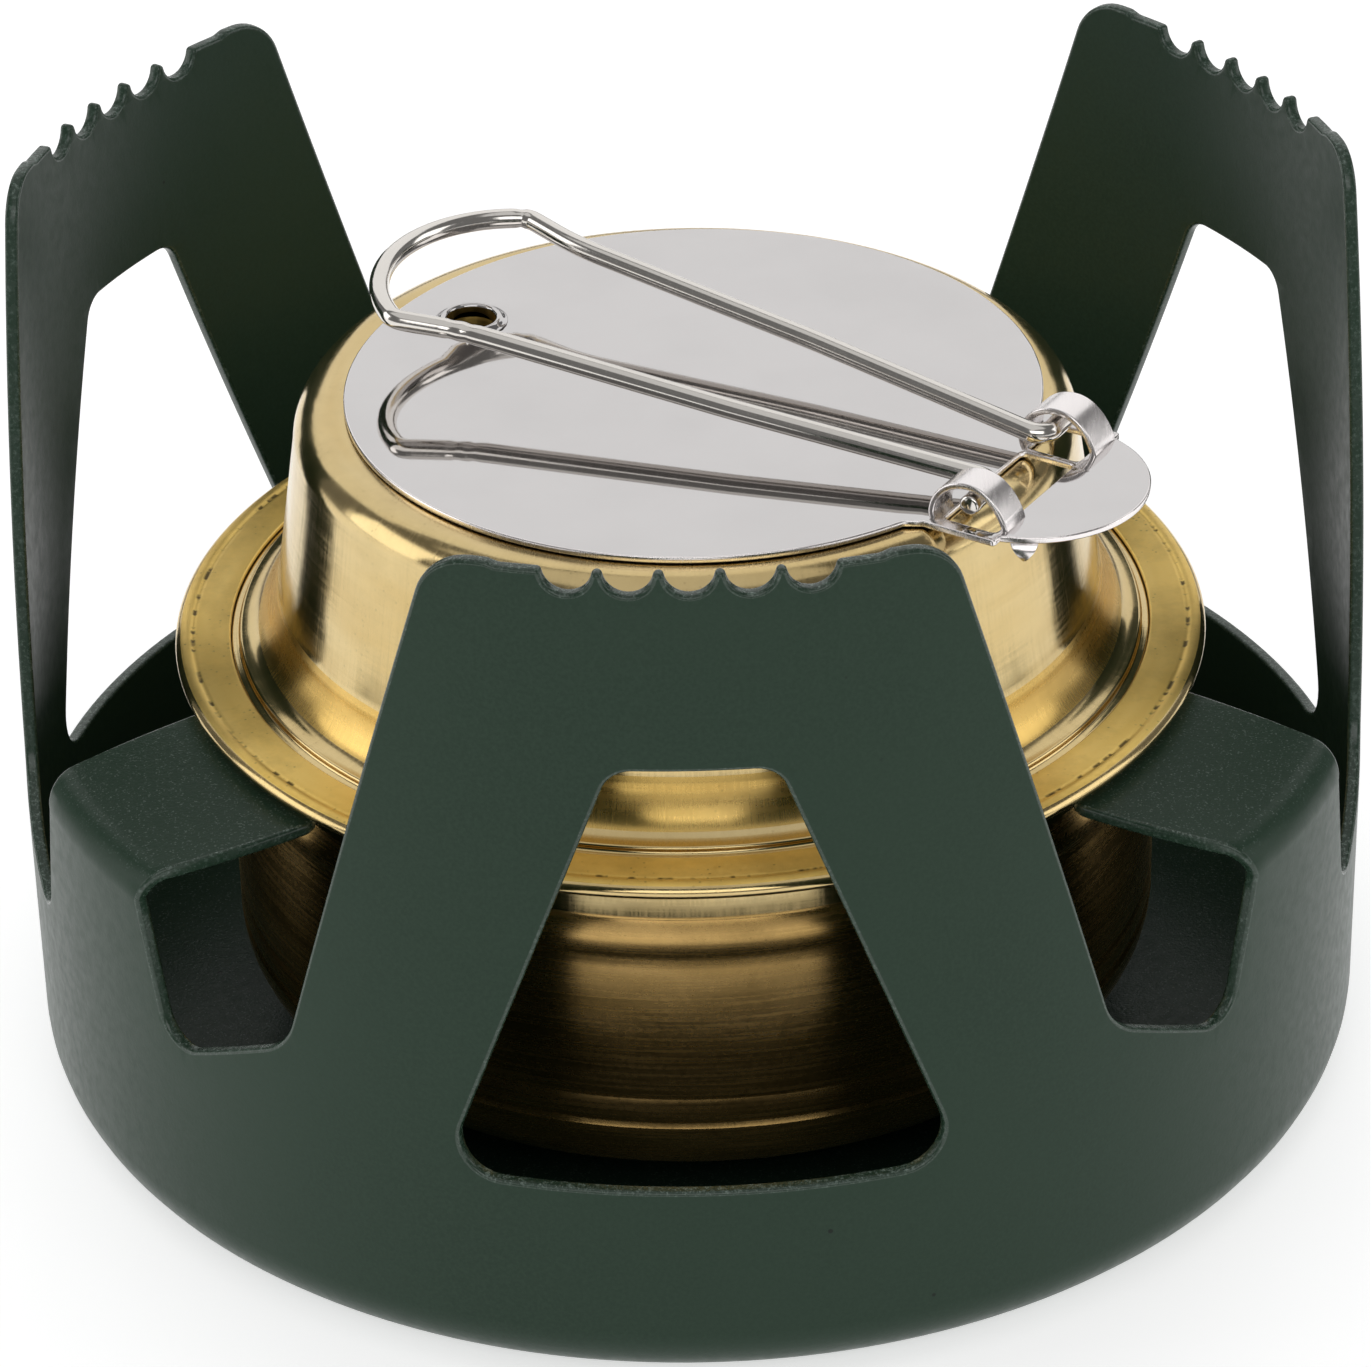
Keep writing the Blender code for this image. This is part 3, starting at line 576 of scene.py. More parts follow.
def add_base(bm, depth):
    """Rounded edge and flat floor of the stand."""
    rings = []
    bend = BASE_CORNER - depth
    section = [(RADIUS - BASE_CORNER + bend * cos(a), BASE_CORNER - bend * sin(a))
               for a in (pi / 2 * i / 9 for i in range(10))]
    section += [(RADIUS * k, depth) for k in BASE_RINGS]
    for radius, height in section:
        rings.append([bm.verts.new((radius * cos(a - pi / 2), radius * sin(a - pi / 2), height))
                      for a in turns(COLUMNS)])
    for low, high in zip(rings, rings[1:]):
        bridge(bm, low, high)
    centre = bm.verts.new((0, 0, depth))
    for i in range(COLUMNS):
        bm.faces.new((rings[-1][i], rings[-1][(i + 1) % COLUMNS], centre))


def make_stand(coat, edge_coat):
    half = split_long(half_outline(), GRAIN, closed=False)
    rim = half[::-1] + [(-s, v) for s, v in half[1:]]
    rows = [BASE_CORNER + (TAB_START - BASE_CORNER) * i / WALL_ROWS for i in range(1, WALL_ROWS)]
    seam = [TAB_END - EDGE - (TAB_RUN - EDGE) * i / TAB_ROWS for i in range(1, TAB_ROWS)]
    seam += BEND_ROWS[::-1] + rows[::-1]
    columns = COLUMNS // 3
    step = 2 * SECTOR_HALF / columns
    closing = [(-SECTOR_HALF, v) for v in seam]
    closing += [(-SECTOR_HALF + step * i, BASE_CORNER) for i in range(columns + 1)]
    closing += [(SECTOR_HALF, v) for v in reversed(seam)]
    grid = []
    upper = [TAB_START + 3.0 * MM * i for i in range(13)]
    bend = BEND_ROWS + [TAB_END - TAB_RUN * i / TAB_ROWS for i in range(1, TAB_ROWS)]
    for i in range(1, columns):
        s = -SECTOR_HALF + step * i
        on_tab = abs(s) > SECTOR_HALF - NOTCH_HIGH[0]
        grid += [(s, v) for v in rows + (bend if on_tab else upper)]
    bm = bmesh.new()
    for k in range(3):
        middle = SECTOR * k - pi / 2

        def surface(s, v, depth):
            radius, height = on_stand(s, v, depth)
            angle = middle + s / RADIUS
            return (radius * cos(angle), radius * sin(angle), height)

        rims = [(rim, False), (window_outline(), True)]
        add_sheet(bm, rims, closing, grid, surface, STAND_SHEET, EDGE)
    add_base(bm, 0.0)
    add_base(bm, STAND_SHEET)
    return finish("stand_body", bm, "pot_stand", "stand", "stand_green", coat, edge_coat,
                  weld=0.004 * MM)


# Burner --------------------------------------------------------------------------------------

FLANGE_RADIUS = CUP_HIGH.x
FLANGE_TOP = CUP_HIGH.z - 0.12 * MM
CUP_RADIUS = 34.7 * MM
CUP_INNER = CUP_RADIUS - SHEET
COLLAR_RADIUS = 27.0 * MM
SEAM_RADIUS = 36.9 * MM             # where the rolled rim meets the flat flange
MOUTH_RADIUS = 21.5 * MM
CUP_CORNER = 5.5 * MM
CUP_FOOT = (18 * MM, 19 * MM, 24 * MM)   # inner slope, inner and outer edge
CUP_DISH = 0.35 * MM                # rise of the floor inside the foot
GROOVES = (11.95 * MM, 14.0 * MM)
GROOVE = (0.42 * MM, 0.08 * MM, 0.17 * MM)   # half width, half of its bottom, depth
BULGE = (25.7 * MM, 3.3 * MM, 0.4 * MM)      # start, length, height
BEAD = (0.95 * MM, 0.64 * MM)       # half width and height of the rolled rim
NECK_LOW = 29.3 * MM                # above it the cup's neck is bright
RIM_BRIGHT = 0.35 * MM              # width of the rim's rubbed outer edge


def cup_profile():
    """Outer face from the floor's middle up to the rolled rim, then down the inside."""
    base = CUP_LOW.z
    corner = (CUP_RADIUS - CUP_CORNER, base + CUP_CORNER)
    under = FLANGE_TOP - SHEET
    inner_foot, foot, outer_foot = CUP_FOOT
    points = [(0, base + CUP_DISH), (inner_foot, base + CUP_DISH), (foot, base), (outer_foot, base)]
    points += arc(corner, CUP_CORNER, -pi / 2, -0.001, 10)
    half, half_bottom, depth = GROOVE
    for height in GROOVES:
        points += [(CUP_RADIUS - 0.02 * MM, height - half), (CUP_RADIUS - depth, height - half_bottom),
                   (CUP_RADIUS - depth, height + half_bottom), (CUP_RADIUS, height + half)]
    points += [(CUP_RADIUS - 0.05 * MM, 17 * MM), (CUP_RADIUS - 0.08 * MM, 21 * MM)]
    start, length, rise = BULGE
    points += [(CUP_RADIUS - 0.3 * MM, 24.9 * MM), (CUP_RADIUS - 0.35 * MM, start)]
    points += [(CUP_RADIUS - 0.35 * MM + rise * sin(pi * t), start + length * t)
               for t in (i / 8 for i in range(1, 9))]
    points += [(CUP_RADIUS - 0.5 * MM, 29.15 * MM), (CUP_RADIUS - 0.2 * MM, 29.4 * MM)]
    points += [(CUP_RADIUS - 0.2 * MM, under - 0.5 * MM)]
    points += arc((CUP_RADIUS + 0.3 * MM, under - 0.5 * MM), 0.5 * MM, pi, pi / 2, 4)
    wide, tall = BEAD
    bead = (FLANGE_RADIUS - wide, CUP_HIGH.z - 0.04 * MM - tall)
    points += [(bead[0] - wide * 0.5, under - 0.08 * MM)]
    points += [(bead[0] + wide * cos(a), bead[1] + tall * sin(a))
               for a in (-pi * 0.6 + pi * 1.1 * i / 22 for i in range(23))]
    points += [(SEAM_RADIUS + 0.12 * MM, FLANGE_TOP + 0.02 * MM), (SEAM_RADIUS, FLANGE_TOP - 0.05 * MM)]
    points += [(SEAM_RADIUS - 0.14 * MM, FLANGE_TOP - 0.01 * MM), (SEAM_RADIUS - 0.35 * MM, FLANGE_TOP)]
    points += arc((CUP_INNER + 0.18 * MM, FLANGE_TOP - 0.18 * MM), 0.18 * MM, pi / 2, pi, 5)
    points += arc(corner, CUP_CORNER - SHEET, 0, -pi / 2, 8)
    raised = base + CUP_DISH + SHEET
    points += [(outer_foot, base + SHEET), (foot + 0.2 * MM, base + SHEET)]
    return points + [(inner_foot, raised), (0, raised)]


def make_cup(wall, flange, bright):
    """Worn cup under a satin flange; the neck and the rim's outer edge are rubbed bright."""
    bm = bmesh.new()
    add_turned(bm, cup_profile())
    for face in bm.faces:
        middle = face.calc_center_median()
        reach = middle.xy.length
        if middle.z > NECK_LOW:
            outside = CUP_RADIUS - SHEET / 2 < reach < CUP_RADIUS + SHEET
            neck = outside and middle.z < FLANGE_TOP - SHEET
            face.material_index = 2 if neck or reach > FLANGE_RADIUS - RIM_BRIGHT else 1
    return finish("fuel_cup", bm, "burner_cup", "burner", "brass_spun", wall, flange, bright)


COLLAR_BEND = 1.8 * MM
MOUTH_LOW = 37.5 * MM
THREAD = (45.0 * MM, 1.8 * MM, 0.17 * MM, 3)    # top, pitch, depth, turns
JETS = (24, 44.4 * MM, 0.55 * MM)   # count, height, radius


def collar_profile():
    """Upper shell: brim, outer wall, rounded top and the mouth with its thread."""
    top = COLLAR_HIGH.z
    brim = COLLAR_LOW.z
    bend = COLLAR_BEND
    outer = (COLLAR_RADIUS - bend, top - bend)
    inner = (MOUTH_RADIUS + bend, top - bend)
    points = [(COLLAR_HIGH.x, brim), (COLLAR_HIGH.x, brim + SHEET)]
    points += arc((COLLAR_RADIUS + 0.6 * MM, brim + SHEET + 0.6 * MM), 0.6 * MM, -pi / 2, -pi, 4)
    points += arc(outer, bend, 0, pi / 2, 8) + arc(inner, bend, pi / 2, pi, 8)
    high, pitch, depth, count = THREAD
    for i in range(1, 16 * count + 1):
        turn = i / 16
        points.append((MOUTH_RADIUS - depth * (1 - cos(2 * pi * turn)), high - pitch * turn))
    points += [(MOUTH_RADIUS, MOUTH_LOW), (MOUTH_RADIUS + SHEET, MOUTH_LOW)]
    points += arc(inner, bend - SHEET, pi, pi / 2, 6) + arc(outer, bend - SHEET, pi / 2, 0, 6)
    return points + [(COLLAR_RADIUS - SHEET, brim)]


def make_collar(material):
    bm = bmesh.new()
    add_turned(bm, collar_profile())
    collar = finish("jet_collar", bm, "burner_collar", "burner", "brass_spun", material)
    count, height, radius = JETS
    reach = (COLLAR_RADIUS - 2.4 * MM, COLLAR_RADIUS + 1.2 * MM)
    drill_round(collar, [a + pi / count for a in turns(count)], height, radius, reach, 16)
    return collar


def add_barrel(bm, rings):
    """Close a run of rings into a body with two flat ends."""
    for one, two in zip(rings, rings[1:]):
        bridge(bm, one, two)
    bm.faces.new(rings[0])
    bm.faces.new(rings[-1])


def combine(piece, bm, operation):
    """Join or cut a piece with a guide body, keeping only the finished mesh."""
    bmesh.ops.recalc_face_normals(bm, faces=bm.faces)
    mesh = bpy.data.meshes.new("guide")
    bm.to_mesh(mesh)
    bm.free()
    mesh.shade_smooth()
    guide = bpy.data.objects.new("guide", mesh)
    bpy.context.scene.collection.objects.link(guide)
    for material in piece.data.materials:
        mesh.materials.append(material)
    modifier = piece.modifiers.new("guide", "BOOLEAN")
    modifier.object = guide
    modifier.operation = operation
    modifier.solver = "EXACT"
    with bpy.context.temp_override(object=piece, active_object=piece, selected_objects=[piece]):
        bpy.ops.object.modifier_move_to_index(modifier="guide", index=0)
        bpy.ops.object.modifier_apply(modifier="guide")
    bpy.data.objects.remove(guide)
    piece.data.shade_smooth()
    piece.data.set_sharp_from_angle(angle=radians(50))
    for modifier in piece.modifiers:
        modifier.keep_sharp = True


def drill_round(piece, azimuths, height, radius, reach, sides):
    """Drill radial holes at one height through a turned wall."""
    pegs = bmesh.new()
    for azimuth in azimuths:
        out = Vector((cos(azimuth), sin(azimuth), 0))
        side = Vector((-sin(azimuth), cos(azimuth), 0))
        rings = [[pegs.verts.new(out * far + side * (radius * cos(a))
                                 + Vector((0, 0, height + radius * sin(a)))) for a in turns(sides)]
                 for far in reach]
        add_barrel(pegs, rings)
    combine(piece, pegs, "DIFFERENCE")


SLEEVE_NOTCHES = (6, 2.2 * MM)      # count and radius
NOTCH_TURN = pi / 48                # keeps the notches off the facets' edges


def make_sleeve(material):
    low, high, outer = SLEEVE_LOW.z, SLEEVE_HIGH.z, SLEEVE_HIGH.x
    soft = 0.2 * MM
    inner = outer - SHEET
    corners = [(inner, low, soft), (outer, low, soft), (outer, high, soft), (inner, high, soft)]
    bm = bmesh.new()
    add_turned(bm, rounded(corners, 3))
    sleeve = finish("inner_sleeve", bm, "vapour_sleeve", "burner", "brass_dull", material)
    count, radius = SLEEVE_NOTCHES
    reach = (outer - 2 * MM, outer + 1.2 * MM)
    drill_round(sleeve, [a + NOTCH_TURN for a in turns(count)], low, radius, reach, 32)
    return sleeve


def make_wick(material):
    """Fibre band whose faces are slightly uneven."""
    low, high = WICK_LOW.z, WICK_HIGH.z
    inner, outer = 23.3 * MM, WICK_HIGH.x
    soft = 0.8 * MM
    corners = [(inner, low, soft), (outer, low, soft), (outer, high, soft), (inner, high, soft)]
    bm = bmesh.new()
    add_turned(bm, split_long(rounded(corners, 4), 1.5 * MM))
    for vert in bm.verts:
        turn = atan2(vert.co.y, vert.co.x)
        inward = 0.12 * MM * (1 + sin(31 * turn + 400 * vert.co.z) * cos(17 * turn))
        if vert.co.xy.length > (inner + outer) / 2:
            vert.co.xy *= 1 - inward / vert.co.xy.length
    return finish("wick_fibre_band", bm, "wick_band", "burner", "wick_fibre", material)


PORT_RADIUS = 15.5 * MM
PORT_LIP = 2.0 * MM                 # how far the port's edge turns down
PIVOT_HOLE = 2.45 * MM
SHOULDER_RADIUS = 28.6 * MM
RING_WALL = [(28.75, 49.0), (29.15, 46.2), (29.6, 43.2), (30.0, 40.6), (30.25, 38.9)]
RING_COVE = [(30.38, 38.35), (30.5, 37.95), (30.56, 37.75), (30.58, 37.5), (30.72, 36.9),
             (31.0, 36.2), (31.3, 35.65), (31.62, 35.2), (32.0, 34.85), (32.45, 34.6), (32.9, 34.5)]
SHELF = 0.22 * MM                   # thin foot of the brim beyond the solid
SHOULDER_BEND = 2.4 * MM
COVE_LOW, COVE_HIGH = 34.9 * MM, 38.4 * MM      # heights of the hollow curve, in rougher brass whose orange tint is a painted reflection of the flange


def ring_profile():
    """Simmer ring: port lip, flat top, tapered wall, crease, hollow curve and brim."""
    top = RING_HIGH.z
    low = RING_LOW.z
    shoulder = (SHOULDER_RADIUS - SHOULDER_BEND, top - SHOULDER_BEND)
    points = [(PORT_RADIUS + SHEET, top - PORT_LIP), (PORT_RADIUS, top - PORT_LIP)]
    points += arc((PORT_RADIUS + 0.7 * MM, top - 0.7 * MM), 0.7 * MM, pi, pi / 2, 5)
    points += [(PORT_RADIUS + 3 * MM, top), (shoulder[0] - 3 * MM, top)]
    points += arc(shoulder, SHOULDER_BEND, pi / 2, 0.15, 12)
    points += [(r * MM, z * MM) for r, z in RING_WALL]
    outer = [(r * MM, z * MM) for r, z in RING_COVE]
    lip = arc((33.22 * MM, low + 0.68 * MM), 0.22 * MM, pi / 2, -0.3, 8)
    shelf = RING_HIGH.x + SHELF
    lip += [(33.5 * MM, low + 0.44 * MM), (33.65 * MM, low + 0.38 * MM),
            (shelf - 0.12 * MM, low + 0.38 * MM), (shelf, low + 0.30 * MM),
            (shelf, low + 0.08 * MM), (shelf - 0.08 * MM, low), (32.2 * MM, low)]
    points += outer + lip + [(r - SHEET * 0.85, z - SHEET * 0.5) for r, z in reversed(outer[:-2])]
    points += [(r * MM - SHEET, z * MM) for r, z in reversed(RING_WALL)]
    points += arc(shoulder, SHOULDER_BEND - SHEET, 0.15, pi / 2, 6)
    return points + [(PORT_RADIUS + 1.0 * MM, top - SHEET)]


def make_ring(material, painted_reflection_cove):
    bm = bmesh.new()
    add_turned(bm, ring_profile())
    # The hollow curve takes the second material, tinted orange as a painted reflection of the flange.
    for face in bm.faces:
        if COVE_LOW < face.calc_center_median().z < COVE_HIGH:
            face.material_index = 1
    ring = finish("ring_shell", bm, "simmer_ring", "ring", "brass_spun", material, painted_reflection_cove)
    drill = bmesh.new()
    circle = [Vector((PIVOT_HOLE * cos(a), PIVOT_HOLE * sin(a), 0)) for a in turns(48)]
    add_barrel(drill, [[drill.verts.new(PIVOT + spot + Vector((0, 0, z))) for spot in circle]
                       for z in (-4 * MM, 1 * MM)])
    combine(ring, drill, "DIFFERENCE")
    return ring


# Simmer plate, eyelet and handle ---------------------------------------------------------------

PLATE_SHEET = 0.5 * MM
PLATE_EDGE = 0.12 * MM
DISC_RADIUS = 25.4 * MM
TO_DISC = 19.5 * MM
EAR_CENTRE = TO_DISC + 27.9 * MM
EAR_RADIUS = 8.6 * MM
EAR_NECK = 9.1 * MM
EAR_NOTCH = TO_DISC + 30.3 * MM
SLOT = (TO_DISC + 25.6 * MM, TO_DISC + 29.8 * MM, 8.0 * MM)    # start, end, half length
SLOT_STRIP = (3.25 * MM, 3.8 * MM)  # the strip's two edges
CURL = (TO_DISC + 24.1 * MM, TO_DISC + 30.5 * MM, 2.7 * MM)    # feet and height
CURL_SIDES = {-1: (4.9 * MM, 7.6 * MM), 1: (5.1 * MM, 8.1 * MM)}
CURL_FLARE = 1.35                   # how softly the outer foot runs into the ear
CURL_SHEET = 0.5 * MM
TAIL_LENGTH = 1.5 * MM
TAIL_BOW = 0.35 * MM
PLATE_DISH = (6 * MM, 0.14 * MM)    # the sheet is drawn up round the eyelet
PLATE_SETTLE = 0.2 * MM             # how far the sheet lies below the pivot's level


def plate_frame():
    """Matrix of the plate's own axes: x from the pivot to the ear, z up, zero on its upper face."""
    across = Vector((-TO_EAR.y, TO_EAR.x, 0))
    made = Matrix((TO_EAR, across, Vector((0, 0, 1)))).transposed().to_4x4()
    made.translation = PIVOT - Vector((0, 0, PLATE_SETTLE))
    return made


def plate_outline():
    neck = sqrt(DISC_RADIUS ** 2 - EAR_NECK ** 2)
    join = atan2(EAR_NECK, neck)
    disc = arc((TO_DISC, 0), DISC_RADIUS, join + 0.03, 2 * pi - join - 0.03, 150)
    reach = EAR_NOTCH - EAR_CENTRE
    notch_half = sqrt(EAR_RADIUS ** 2 - reach ** 2)
    turn = atan2(notch_half, reach)
    ear = arc((EAR_CENTRE, 0), EAR_RADIUS, -turn, turn, 44)
    near = (TO_DISC + neck + 0.9 * MM, EAR_NECK)
    soft = 0.3 * MM
    low = fillet(near[:1] + (-EAR_NECK,), (EAR_NOTCH, -EAR_NECK), (EAR_NOTCH, 0), soft, 4)
    high = [(x, -y) for x, y in reversed(low)]
    return disc + [(near[0], -near[1])] + low + ear + high + [near]


def pivot_hole():
    """The eyelet's hole travelled clockwise, so that its empty side is on the right."""
    return [(PIVOT_HOLE * cos(a), -PIVOT_HOLE * sin(a)) for a in turns(48)]


def slot_holes():
    """The slot that the curls were raised from, with the narrow strip left across it."""
    near, far, half = SLOT
    soft = 0.4 * MM
    holes = []
    for low, high in ((-half, SLOT_STRIP[0]), (SLOT_STRIP[1], half)):
        corners = [(near, low, soft), (near, high, soft), (far, high, soft), (far, low, soft)]
        holes.append((split_long(rounded(corners, 4), 1.0 * MM), True))
    return holes


def add_curl(bm, side):
    """Band of the sheet arched over the wire, both feet sunk in the plate."""
    first, last, height = CURL
    near, far = CURL_SIDES[side]
    middle, half = (first + last) / 2, (last - first) / 2
    sunk = PLATE_SHEET / 2
    soft = 0.14 * MM
    section = rounded([(0, near, soft), (0, far, soft), (CURL_SHEET, far, soft),
                       (CURL_SHEET, near, soft)], 3)
    rings = []
    for i in range(49):
        a = pi * i / 48
        lean = CURL_FLARE if a > pi / 2 else 1.0
        ring = []
        for inset, y in section:
            x = middle - (half - inset) * cos(a)
            z = (height + PLATE_SETTLE + sunk - inset) * max(sin(a), 0.0) ** lean - sunk
            ring.append(bm.verts.new((x, side * y, z)))
        rings.append(ring)
    add_barrel(bm, rings)
    for face in bm.faces:
        face.material_index = 1


def add_tail(bm):
    """Tongue left by the press tool, hanging curled under the ear's near edge."""
    top = Vector((EAR_CENTRE + 3.55 * MM, -6.9 * MM))
    drift = Vector((0.45 * MM, -0.75 * MM))
    along = Vector((0.88, 0.47))
    out = Vector((0.47, -0.88))
    soft = 0.06 * MM
    rings = []
    for i in range(11):
        t = i / 10
        centre = top + drift * t
        half = (0.95 * (1 - t ** 1.6) + 0.12) * MM
        thick = (0.26 - 0.12 * t) * MM
        z = -PLATE_SHEET / 2 - TAIL_LENGTH * t
        corners = [(-half, -thick, soft), (half, -thick, soft), (half, thick, soft),
                   (-half, thick, soft)]
        bow = TAIL_BOW * sin(pi * t)
        spots = [centre + along * p + out * (q + bow) for p, q in rounded(corners, 2)]
        rings.append([bm.verts.new((spot.x, spot.y, z)) for spot in spots])
    add_barrel(bm, rings)
    for face in bm.faces:
        face.material_index = 1


def make_plate(material, formed):
    bm = bmesh.new()
    rims = [(plate_outline(), True)] + slot_holes() + [(pivot_hole(), True)]
    grid = [(x * 3 * MM, y * 3 * MM) for x in range(-4, 20) for y in range(-9, 10)]
    dish, rise = PLATE_DISH
    grid += [(dish * k / 6 * cos(a), dish * k / 6 * sin(a)) for k in (3, 4, 5, 6) for a in turns(24)]
    add_sheet(bm, rims, (), grid, lambda x, y, depth: (x, y, -depth), PLATE_SHEET, PLATE_EDGE)
    for vert in bm.verts:
        reach = vert.co.xy.length
        if reach < dish:
            vert.co.z += rise * (0.5 + 0.5 * cos(pi * reach / dish))
    bmesh.ops.transform(bm, matrix=plate_frame(), verts=bm.verts)
    plate = finish("plate_disc", bm, "simmer_plate", "plate", "steel_polished", material, formed)
    for add in (lambda part: add_curl(part, 1), lambda part: add_curl(part, -1), add_tail):
        part = bmesh.new()
        add(part)
        bmesh.ops.transform(part, matrix=plate_frame(), verts=part.verts)
        combine(plate, part, "UNION")
    return plate


EYELET = [v * MM for v in (1.85, 2.12, 2.15, 2.72, 2.62)]  # bore, crest, barrel, foot, flare
EYELET_RISE = 0.32 * MM
EYELET_SEAT = -0.03 * MM
EYELET_UNDER = -1.7 * MM            # under the plate, the ring's top and the gaps between
LINING_TOP = -0.72 * MM             # the bore is brass below this


def make_eyelet(material, bore_material):
    """Hollow rivet: soft rolled rim above the plate, brass lined bore, flare under the ring."""
    bore, crest, barrel, foot, flare = EYELET
    rise, seat, under = EYELET_RISE, EYELET_SEAT, EYELET_UNDER
    points = [(crest + (crest - bore) * cos(a), 0.10 * MM + (rise - 0.10 * MM) * sin(a))
              for a in (pi - pi / 2 * i / 8 for i in range(9))]
    for i in range(1, 13):
        share = 0.5 + 0.5 * cos(pi * i / 12)
        points.append((crest + (foot - crest) * i / 12, seat + (rise - seat) * share))
    points += [(foot, seat - 0.04 * MM), (flare, seat), (barrel, seat), (barrel, under), (flare, under)]
    points += [(flare, under - 0.35 * MM), (bore + 0.3 * MM, under - 0.35 * MM)]
    points += [(bore, under - 0.1 * MM), (bore, -0.75 * MM), (bore, -0.70 * MM)]
    bm = bmesh.new()
    add_turned(bm, points, 96)
    for face in bm.faces:
        if face.calc_center_median().z < LINING_TOP:
            face.material_index = 1
    bmesh.ops.translate(bm, verts=bm.verts, vec=PIVOT)
    return finish("rivet_eyelet", bm, "pivot_eyelet", "ring", "steel_polished", material,
                  bore_material)


WIRE_RADIUS = 0.75 * MM
WIRE_TILT = radians(5)
WIRE_END = 7.6 * MM
LEG_HALF = 3.6 * MM
LEG_BOW = (20.0 * MM, 6.0 * MM)     # this and the next two: reach and half width
PINCH = (41.2 * MM, 7.8 * MM)
CORNER = (46.3 * MM, 9.3 * MM)
FINGER_END = 51.5 * MM
NIPS = ((46.8 * MM,), (40.7 * MM, 42.1 * MM))    # along the far leg and the near leg
NIP_HALF = 0.45 * MM
NIP_DEPTH = 0.11                    # share of the radius
WIRE_SIDES = 28
END_ROUNDS = [(-0.16 * MM, 0.72), (-0.10 * MM, 0.92), (0.0, 1.0)]   # shift and size


def wire_path():
    """Half the wire's centre line, evenly spaced, from its cut end to the finger end's middle."""
    reach = FINGER_END - CORNER[0]
    bow = (CORNER[1] ** 2 + reach ** 2) / (2 * reach)
    sweep = asin(CORNER[1] / bow)
    points = [(0, WIRE_END)]
    points += fillet((0, WIRE_END), (0, LEG_HALF), LEG_BOW, 1.2 * MM, 10)
    points += fillet(points[-1], LEG_BOW, PINCH, 60 * MM, 8)
    points += fillet(LEG_BOW, PINCH, CORNER, 22 * MM, 12)
    end_arc = arc((FINGER_END - bow, 0), bow, sweep, 0, 24)
    points += fillet(PINCH, CORNER, end_arc[2], 1.4 * MM, 8)
    points += end_arc[3:]
    return split_long(points, 0.5 * MM, closed=False)


def pinch_at(x, y):
    """Share of the radius left at a spot of the path, where a tool has nipped the wire."""
    share = 1.0
    for place in NIPS[y > 0]:
        near = abs(x - place) / NIP_HALF
        if near < 1:
            share -= NIP_DEPTH * (1 + cos(pi * near)) / 2
    return share


def make_handle(material):
    half = wire_path()
    path = half + [(x, -y) for x, y in reversed(half[:-1])]
    finger = Vector((-HINGE_AXIS.y, HINGE_AXIS.x, 0))
    along = finger * cos(WIRE_TILT) + Vector((0, 0, sin(WIRE_TILT)))
    side = HINGE_AXIS * -1
    up = along.cross(side).normalized()
    bm = bmesh.new()
    rings = []
    last = len(path) - 1
    for i, (x, y) in enumerate(path):
        x0, y0 = path[max(i - 1, 0)]
        x1, y1 = path[min(i + 1, last)]
        way = Vector((x1 - x0, y1 - y0)).normalized()
        heading = along * way.x + side * way.y
        level = along * -way.y + side * way.x
        centre = HINGE + along * x + side * y
        rounds = [(0.0, 1.0)]
        if i == 0:
            rounds = END_ROUNDS
        if i == last:
            rounds = [(-shift, size) for shift, size in reversed(END_ROUNDS)]
        for shift, size in rounds:
            radius = WIRE_RADIUS * pinch_at(x, y) * size
            spot = centre + heading * shift
            rings.append([bm.verts.new(spot + (level * cos(a) + up * sin(a)) * radius)
                          for a in turns(WIRE_SIDES)])
    add_barrel(bm, rings)
    return finish("handle_wire", bm, "wire_handle", "handle", "steel_wire", material)


# Studio --------------------------------------------------------------------------------------

LIGHT_TARGET_HEIGHT = 0.03
WORLD_STRENGTH = 0.16
FLOOR_RADII = (0.0, 0.2, 0.6, 1.5, 4.0)
FLOOR_SIDES = 96


def aim(thing, place, target):
    back = (Vector(place) - Vector(target)).normalized()
    right = Vector((0, 0, 1)).cross(back).normalized()
    thing.matrix_world = Matrix((right, back.cross(right), back)).transposed().to_4x4()
    thing.matrix_world.translation = Vector(place)


def area_light(name, place, size, watts):
    lamp = bpy.data.lights.new(name, "AREA")
    lamp.shape = "RECTANGLE"
    lamp.size, lamp.size_y = size
    lamp.energy = watts
    made = bpy.data.objects.new(name, lamp)
    bpy.context.scene.collection.objects.link(made)
    aim(made, place, (0, 0, LIGHT_TARGET_HEIGHT))


def make_studio():
    world = bpy.data.worlds.new("soft_studio")
    world.use_nodes = True
    background = world.node_tree.nodes["Background"]
    background.inputs["Color"].default_value = (1.0, 1.0, 1.0, 1.0)
    background.inputs["Strength"].default_value = WORLD_STRENGTH
    bpy.context.scene.world = world
    area_light("overhead", (-0.10, -0.05, 0.95), (0.9, 0.9), 1.3)
    area_light("front", (0.0, -0.95, 0.70), (1.1, 0.6), 3.5)
    area_light("back", (0.0, 0.95, 0.68), (1.9, 1.15), 5.6)
    area_light("left", (-0.95, 0.05, 0.36), (0.55, 0.65), 1.8)
    area_light("right", (0.95, 0.0, 0.40), (0.5, 0.65), 1.5)
    bpy.context.scene.view_settings.view_transform = "Standard"


def make_floor(material):
    bm = bmesh.new()
    rings = []
    level = CAD_BOX[0][2]
    for radius in FLOOR_RADII:
        if radius == 0.0:
            rings.append([bm.verts.new((0, 0, level))] * FLOOR_SIDES)
            continue
        rings.append([bm.verts.new((radius * cos(a), radius * sin(a), level))
                      for a in turns(FLOOR_SIDES)])
    for one, two in zip(rings, rings[1:]):
        bridge(bm, one, two)
    mesh = bpy.data.meshes.new("floor")
    bm.to_mesh(mesh)
    bm.free()
    mesh.materials.append(material)
    floor = bpy.data.objects.new("floor", mesh)
    bpy.context.scene.collection.objects.link(floor)


